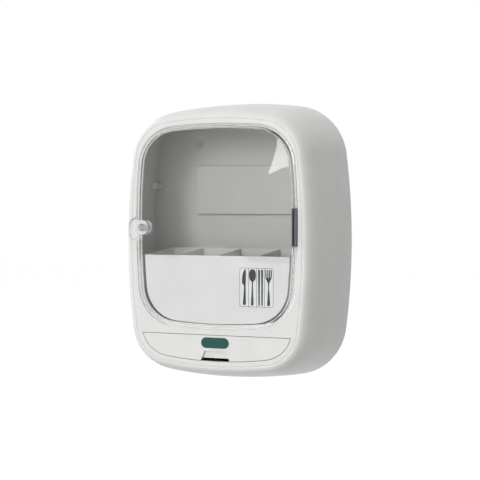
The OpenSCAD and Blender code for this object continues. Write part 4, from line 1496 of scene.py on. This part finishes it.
@dataclass
class Label:
    """The label with its four cells: knife, spoon, chopsticks and fork."""

    shop: Workshop
    x: float = 54.0
    z: float = -54.0 + BODY_Z
    width: float = 45.6
    height: float = 49.5
    fore: float = -120.3
    film: float = 0.18
    ink: float = 0.1

    def figure(self, name: str, edge: Sequence[Flat]) -> Solid:
        """A printed figure from its edge, about the label's middle.

        Args:
            name: Its name.
            edge: Its edge as points (x, z), which may bend inwards.

        Returns:
            The thin solid.
        """
        fore = self.fore - self.film - self.ink
        rings = [
            [(self.x + 1.03 * x, y, self.z + 1.06 * z) for x, z in edge]
            for y in (fore, self.fore - self.film / 2)
        ]
        return Solid.through(name, rings)

    @staticmethod
    def tube(spine: Sequence[tuple[float, float, float]]) -> list[Flat]:
        """The edge of an upright figure from its heights, middles and half widths."""
        left = [(x - 1.15 * w, z) for z, x, w in spine]
        right = [(x + 1.15 * w, z) for z, x, w in reversed(spine)]
        return left + right

    def cells(self) -> list[Solid]:
        """The thin frame and the lines between the cells."""
        outer = RoundBox(self.x, self.z, 44.2, 47.9, 2.8, 8)
        fore = self.fore - self.film - self.ink * 0.6
        ring = [(0.0, fore), (0.5, fore), (0.5, self.fore - 0.05), (0.0, self.fore - 0.05)]
        found = [Solid.loft("frame", outer, ring, True)]
        for x in (-10.3, 0.2, 10.6):
            bar = RoundBox(self.x + x, self.z, 0.5, 47.2, 0.2, 2)
            found.append(Solid.loft("bar", bar, [(0.0, fore), (0.0, self.fore - 0.05)]))
        return found

    def build(self) -> None:
        """The film, its lines and its figures as one piece of three finishes."""
        film = Solid.loft(
            "label_print",
            RoundBox(self.x, self.z, self.width, self.height, 2.0, 8),
            [(0.1, self.fore - self.film), (0.0, self.fore - self.film + 0.08), (0.0, self.fore)],
        )
        turn = math.pi / 12
        knife = self.tube(
            [
                (-20.6, -15.2, 0.6), (-20.0, -15.2, 1.4), (-18.0, -15.2, 1.7), (-12.0, -15.0, 1.35),
                (-4.0, -14.8, 1.0),
                (2.2, -14.7, 0.95), (3.6, -15.3, 1.5), (5.0, -15.9, 2.1), (10.0, -15.8, 2.1),
                (15.0, -15.4, 1.8),
                (18.5, -14.9, 1.3), (20.8, -14.2, 0.5), (21.2, -13.9, 0.15),
            ]
        )
        spoon = self.tube(
            [
                (-20.8, -5.2, 0.6), (-20.2, -5.2, 1.3), (-17.0, -5.2, 1.35), (-8.0, -5.2, 0.95),
                (2.0, -5.1, 0.65), (7.0, -5.0, 0.8)
            ]
            + [
                (14.3 - 6.7 * math.cos(turn * i), -5.0, 0.9 + 2.95 * math.sin(turn * i) ** 0.85)
                for i in range(2, 12)
            ]
            + [(21.0, -5.0, 0.5)]
        )
        sticks = [
            self.tube([(-21.0, x, 0.5), (-20.0, x, 0.75), (0.0, x, 0.85), (20.0, x, 1.1), (20.9, x, 0.8)])
            for x in (3.4, 7.2)
        ]
        fork = [
            (14.8, -21.0), (13.9, -20.2), (13.7, -18.0), (14.3, -9.0), (14.8, -1.0), (14.7, 5.0),
            (13.4, 8.0), (11.9, 10.0),
            (11.3, 13.0), (11.3, 20.8), (12.6, 20.8), (12.8, 11.6), (13.6, 11.2), (13.9, 20.8),
            (15.1, 20.8), (15.3, 11.2),
            (15.9, 11.2), (16.1, 20.8), (17.3, 20.8), (17.5, 11.6), (18.1, 12.0), (18.3, 20.8),
            (19.6, 20.8), (19.4, 13.0),
            (18.6, 10.0), (17.2, 8.0), (16.1, 5.0), (16.0, -1.0), (16.8, -9.0), (17.4, -18.0),
            (17.1, -20.2), (16.2, -21.0),
        ]
        lines = self.cells()
        marks = [self.figure("mark", edge) for edge in (knife, spoon, *sticks, fork)]
        self.shop.dress(film, LABEL_FILM)
        plain = len(film.object.data.polygons)
        grey = sum(len(s.object.data.polygons) for s in lines)
        film.beside(*lines, *marks)
        for finish in (LABEL_LINE, LABEL_INK):
            film.object.data.materials.append(self.shop.cupboard.get(finish))
        for face in film.object.data.polygons:
            face.material_index = 0 if face.index < plain else 1 if face.index < plain + grey else 2
        self.shop.seat(film, "caddy", "label_print", "caddy_label")


@dataclass
class DripTray:
    """The pull-out drip tray with its face, finger notch and badge."""

    shop: Workshop
    top: float = -114.7 + BODY_Z
    line_in: float = 33.3
    face_t: float = 3.0
    box_in: float = 1.5
    wall: float = 2.0
    rear: float = -24.3
    rim_drop: float = 3.0
    notch_top: float = -134.2 + BODY_Z
    notch_w: float = 40.0
    notch_top_w: float = 31.0
    hood_z: float = -143.2 + BODY_Z
    slot_d: float = 16.0
    notch_d: float = 4.5

    def notch(self, grow: float, fore: float, rear: float) -> Solid:
        """A bar of the notch's shape, between two planes."""
        foot = BODY_LINE.foot_at(0.0, self.line_in) - 1.0
        top = self.notch_top + grow
        w, t = self.notch_w / 2 + grow, self.notch_top_w / 2 + grow
        edge: list[Flat] = [(-w, foot), (w, foot)]
        radius = 2.6
        for i, start in ((1, 0.0), (-1, math.pi / 2)):
            for n in range(7):
                a = start + math.pi / 2 * n / 6
                edge.append((i * (t - radius) + radius * math.cos(a), top - radius + radius * math.sin(a)))
        return Solid.through("notch", [[(x, y, z) for x, z in edge] for y in (fore, rear)])

    def tray(self) -> Solid:
        """The tray: face plate, box, hood and notch."""
        face = LowerPart(BODY_LINE, self.line_in, self.top)
        box = LowerPart(BODY_LINE, self.line_in + self.box_in, self.top - self.rim_drop)
        room = LowerPart(BODY_LINE, self.line_in + self.box_in + self.wall, self.top + 20.0)
        foot = BODY_LINE.foot_at(0.0, self.line_in) - 1.0
        inner = FRONT_Y + self.face_t
        made = Solid.loft("tray_body", face, plate_profile(FRONT_Y, inner, 0.35, 0.3))
        made.add(Solid.loft("box", box, plate_profile(FRONT_Y + 1.5, self.rear, 0.0, 2.0)))
        made.cut(
            Solid.loft(
                "room",
                room,
                plate_profile(inner, self.rear - self.wall, 2.0, 2.5),
            )
        )
        half = self.notch_w / 2 + 1.6
        hood = Solid.block(
            "hood", (-half, half), (FRONT_Y + 1.5, FRONT_Y + self.notch_d + 1.6),
            (self.hood_z - 1.0, self.notch_top + 1.6)
        ).add(
            Solid.block(
                "shelf", (-half, half), (FRONT_Y + 1.52, FRONT_Y + self.slot_d + 1.6),
                (foot + 2.6, self.hood_z + 1.6)
            )
        )
        made.add(hood)
        slot = self.notch_w / 2
        made.cut(
            self.notch(0.0, FRONT_Y - 1.0, FRONT_Y + self.notch_d),
            Solid.block(
                "slot", (-slot, slot), (FRONT_Y + 1.5, FRONT_Y + self.slot_d), (foot - 1.0, self.hood_z),
                0.3
            ),
        )
        made.settle()
        self.shop.dress(made, WHITE_TRAY)
        return self.shop.seat(made, "tray", "tray_plastic", "drip_tray")

    def badge(self) -> Solid:
        """The teal badge, plain within its border line."""
        x, z, fore = 0.0, -124.0 + BODY_Z, FRONT_Y - 0.8
        pill = RoundBox(x, z, 37.0, 13.2, 6.59, 16)
        made = Solid.loft(
            "badge_plate", pill,
            [(0.9, fore), *quarter((0.45, fore + 0.02), (0.0, fore + 0.4), True), (0.0, FRONT_Y)]
        )
        made.settle()
        self.shop.dress(made, TEAL)
        return self.shop.seat(made, "tray", "badge_teal", "tray_badge")

    def build(self) -> None:
        """All pieces of the tray."""
        self.tray()
        self.badge()


# Studio ----------------------------------------------------------------------


@dataclass(frozen=True)
class Lamp:
    """A soft box that looks at the object."""

    name: str
    place: Point
    width: float
    height: float
    power: float
    shows: bool = True

    def build(self, target: Vector) -> bpy.types.Object:
        """The lamp, aimed at a point."""
        data = bpy.data.lights.new(self.name, "AREA")
        data.shape = "RECTANGLE"
        data.size, data.size_y = self.width, self.height
        data.energy = self.power
        made = bpy.data.objects.new(self.name, data)
        bpy.context.scene.collection.objects.link(made)
        made.location = self.place
        made.rotation_euler = (target - Vector(self.place)).to_track_quat("-Z", "Y").to_euler()
        made.visible_transmission = False
        made.visible_glossy = self.shows
        return made


@dataclass(frozen=True)
class Studio:
    """Camera, lamps, world and floor, in metres but for the floor's half width in millimetres."""

    azimuth: float = 21.431
    elevation: float = 1.898
    distance: float = 1.5355
    target: Point = (0.0093, -0.06205, -0.0611)
    lens: float = 90.0
    world: float = 0.39
    dim: float = 0.12
    floor_z: float = -0.62
    floor_half: float = 9000.0
    floor_glow: float = 0.82
    floor_grey: float = 0.45
    aim: Point = (0.0, -0.06, -0.06)

    def camera(self) -> None:
        """The camera at the photograph's viewing angle."""
        data = bpy.data.cameras.new("camera")
        data.lens, data.sensor_width = self.lens, 36.0
        data.clip_start, data.clip_end = 0.05, 60.0
        made = bpy.data.objects.new("camera", data)
        bpy.context.scene.collection.objects.link(made)
        a, e = math.radians(self.azimuth), math.radians(self.elevation)
        back = Vector((math.sin(a) * math.cos(e), -math.cos(a) * math.cos(e), math.sin(e)))
        made.location = Vector(self.target) + back * self.distance
        made.rotation_euler = (-back).to_track_quat("-Z", "Y").to_euler()
        bpy.context.scene.camera = made

    @staticmethod
    def seen(nodes: bpy.types.Nodes, links: bpy.types.NodeLinks) -> bpy.types.NodeSocket:
        """1 for what the camera sees straight, in gloss or through glass, else 0."""
        path = nodes.new("ShaderNodeLightPath")
        first, second, matt, last = (nodes.new("ShaderNodeMath") for _ in range(4))
        first.operation = second.operation = "MAXIMUM"
        matt.operation, last.operation = "LESS_THAN", "MULTIPLY"
        matt.inputs[1].default_value = 0.5
        links.new(path.outputs["Is Camera Ray"], first.inputs[0])
        links.new(path.outputs["Is Glossy Ray"], first.inputs[1])
        links.new(first.outputs[0], second.inputs[0])
        links.new(path.outputs["Is Transmission Ray"], second.inputs[1])
        links.new(path.outputs["Diffuse Depth"], matt.inputs[0])
        links.new(second.outputs[0], last.inputs[0])
        links.new(matt.outputs[0], last.inputs[1])
        return last.outputs[0]

    def light_world(self) -> None:
        """A plain world, white to the camera, and to gloss and glass as far as it lies behind the object."""
        world = bpy.data.worlds.new("studio")
        bpy.context.scene.world = world
        world.use_nodes = True
        nodes, links = world.node_tree.nodes, world.node_tree.links
        nodes.clear()
        out = nodes.new("ShaderNodeOutputWorld")
        plain, white = nodes.new("ShaderNodeBackground"), nodes.new("ShaderNodeBackground")
        plain.inputs["Strength"].default_value = self.world
        plain.inputs["Color"].default_value = (1.0, 1.0, 1.0, 1.0)
        white.inputs["Color"].default_value = (1.0, 1.0, 1.0, 1.0)
        way = nodes.new("ShaderNodeSeparateXYZ")
        links.new(nodes.new("ShaderNodeTexCoord").outputs["Generated"], way.inputs[0])
        rear = nodes.new("ShaderNodeMapRange")
        rear.inputs["From Min"].default_value, rear.inputs["From Max"].default_value = -0.3, 0.2
        rear.inputs["To Min"].default_value, rear.inputs["To Max"].default_value = self.dim, 1.0
        links.new(way.outputs["Y"], rear.inputs["Value"])
        bright = nodes.new("ShaderNodeMath")
        bright.operation = "MAXIMUM"
        links.new(nodes.new("ShaderNodeLightPath").outputs["Is Camera Ray"], bright.inputs[0])
        links.new(rear.outputs[0], bright.inputs[1])
        links.new(bright.outputs[0], white.inputs["Strength"])
        mix = nodes.new("ShaderNodeMixShader")
        links.new(self.seen(nodes, links), mix.inputs["Fac"])
        links.new(plain.outputs[0], mix.inputs[1])
        links.new(white.outputs[0], mix.inputs[2])
        links.new(mix.outputs[0], out.inputs["Surface"])

    def floor(self) -> None:
        """A pale floor below the hung object, which keeps its shadow."""
        size, z = self.floor_half, self.floor_z / MM
        points = [(-size, -size, z), (size, -size, z), (size, size, z), (-size, size, z)]
        mesh = bpy.data.meshes.new("floor")
        mesh.from_pydata([Vector(p) * MM for p in points], [], [[0, 1, 2, 3]])
        made = bpy.data.objects.new("floor", mesh)
        bpy.context.scene.collection.objects.link(made)
        material = bpy.data.materials.new("pale_floor")
        material.use_nodes = True
        nodes, links = material.node_tree.nodes, material.node_tree.links
        nodes.clear()
        out = nodes.new("ShaderNodeOutputMaterial")
        glow, matt, both = nodes.new("ShaderNodeEmission"), nodes.new(
            "ShaderNodeBsdfDiffuse"
        ), nodes.new("ShaderNodeAddShader")
        scale = nodes.new("ShaderNodeMath")
        scale.operation = "MULTIPLY"
        scale.inputs[1].default_value = self.floor_glow
        links.new(self.seen(nodes, links), scale.inputs[0])
        links.new(scale.outputs[0], glow.inputs["Strength"])
        matt.inputs["Color"].default_value = (*[self.floor_grey] * 3, 1.0)
        links.new(glow.outputs[0], both.inputs[0])
        links.new(matt.outputs[0], both.inputs[1])
        links.new(both.outputs[0], out.inputs["Surface"])
        made.data.materials.append(material)

    def lamps(self) -> None:
        """The soft boxes."""
        middle = Vector(self.aim)
        for lamp in (
            Lamp("key", (0.15, -2.49, 0.42), 1.8, 1.4, 10.5, False),
            Lamp("low", (0.3, -2.2, -0.3), 1.8, 0.5, 5.0, False),
            Lamp("card", (-0.309, -2.438, 0.511), 0.5, 0.8, 12.0),
            Lamp("top", (0.1, -0.6, 2.0), 1.2, 1.0, 9.0, False),
            Lamp("left", (-1.91, -1.08, 0.32), 0.9, 1.4, 10.0),
            Lamp("behind", (-2.2, 1.2, 0.8), 1.6, 1.2, 12.0),
        ):
            lamp.build(middle)

    def build(self) -> None:
        """The whole studio."""
        bpy.context.scene.view_settings.view_transform = "Standard"
        self.camera()
        self.light_world()
        self.floor()
        self.lamps()


def main() -> None:
    """Builds the whole scene round the frame."""
    logging.basicConfig(level=logging.INFO, format="%(name)s: %(message)s")
    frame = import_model()
    shop = Workshop(frame, Cupboard(), flank_tree(), copies_tree(), row_tree())
    Studio().build()
    Housing(shop).build()
    Door(shop).build()
    Caddy(shop).build()
    DripTray(shop).build()
    for group in list(bpy.data.node_groups):
        if group.users == 0:
            bpy.data.node_groups.remove(group)


if __name__ == "__main__":
    main()
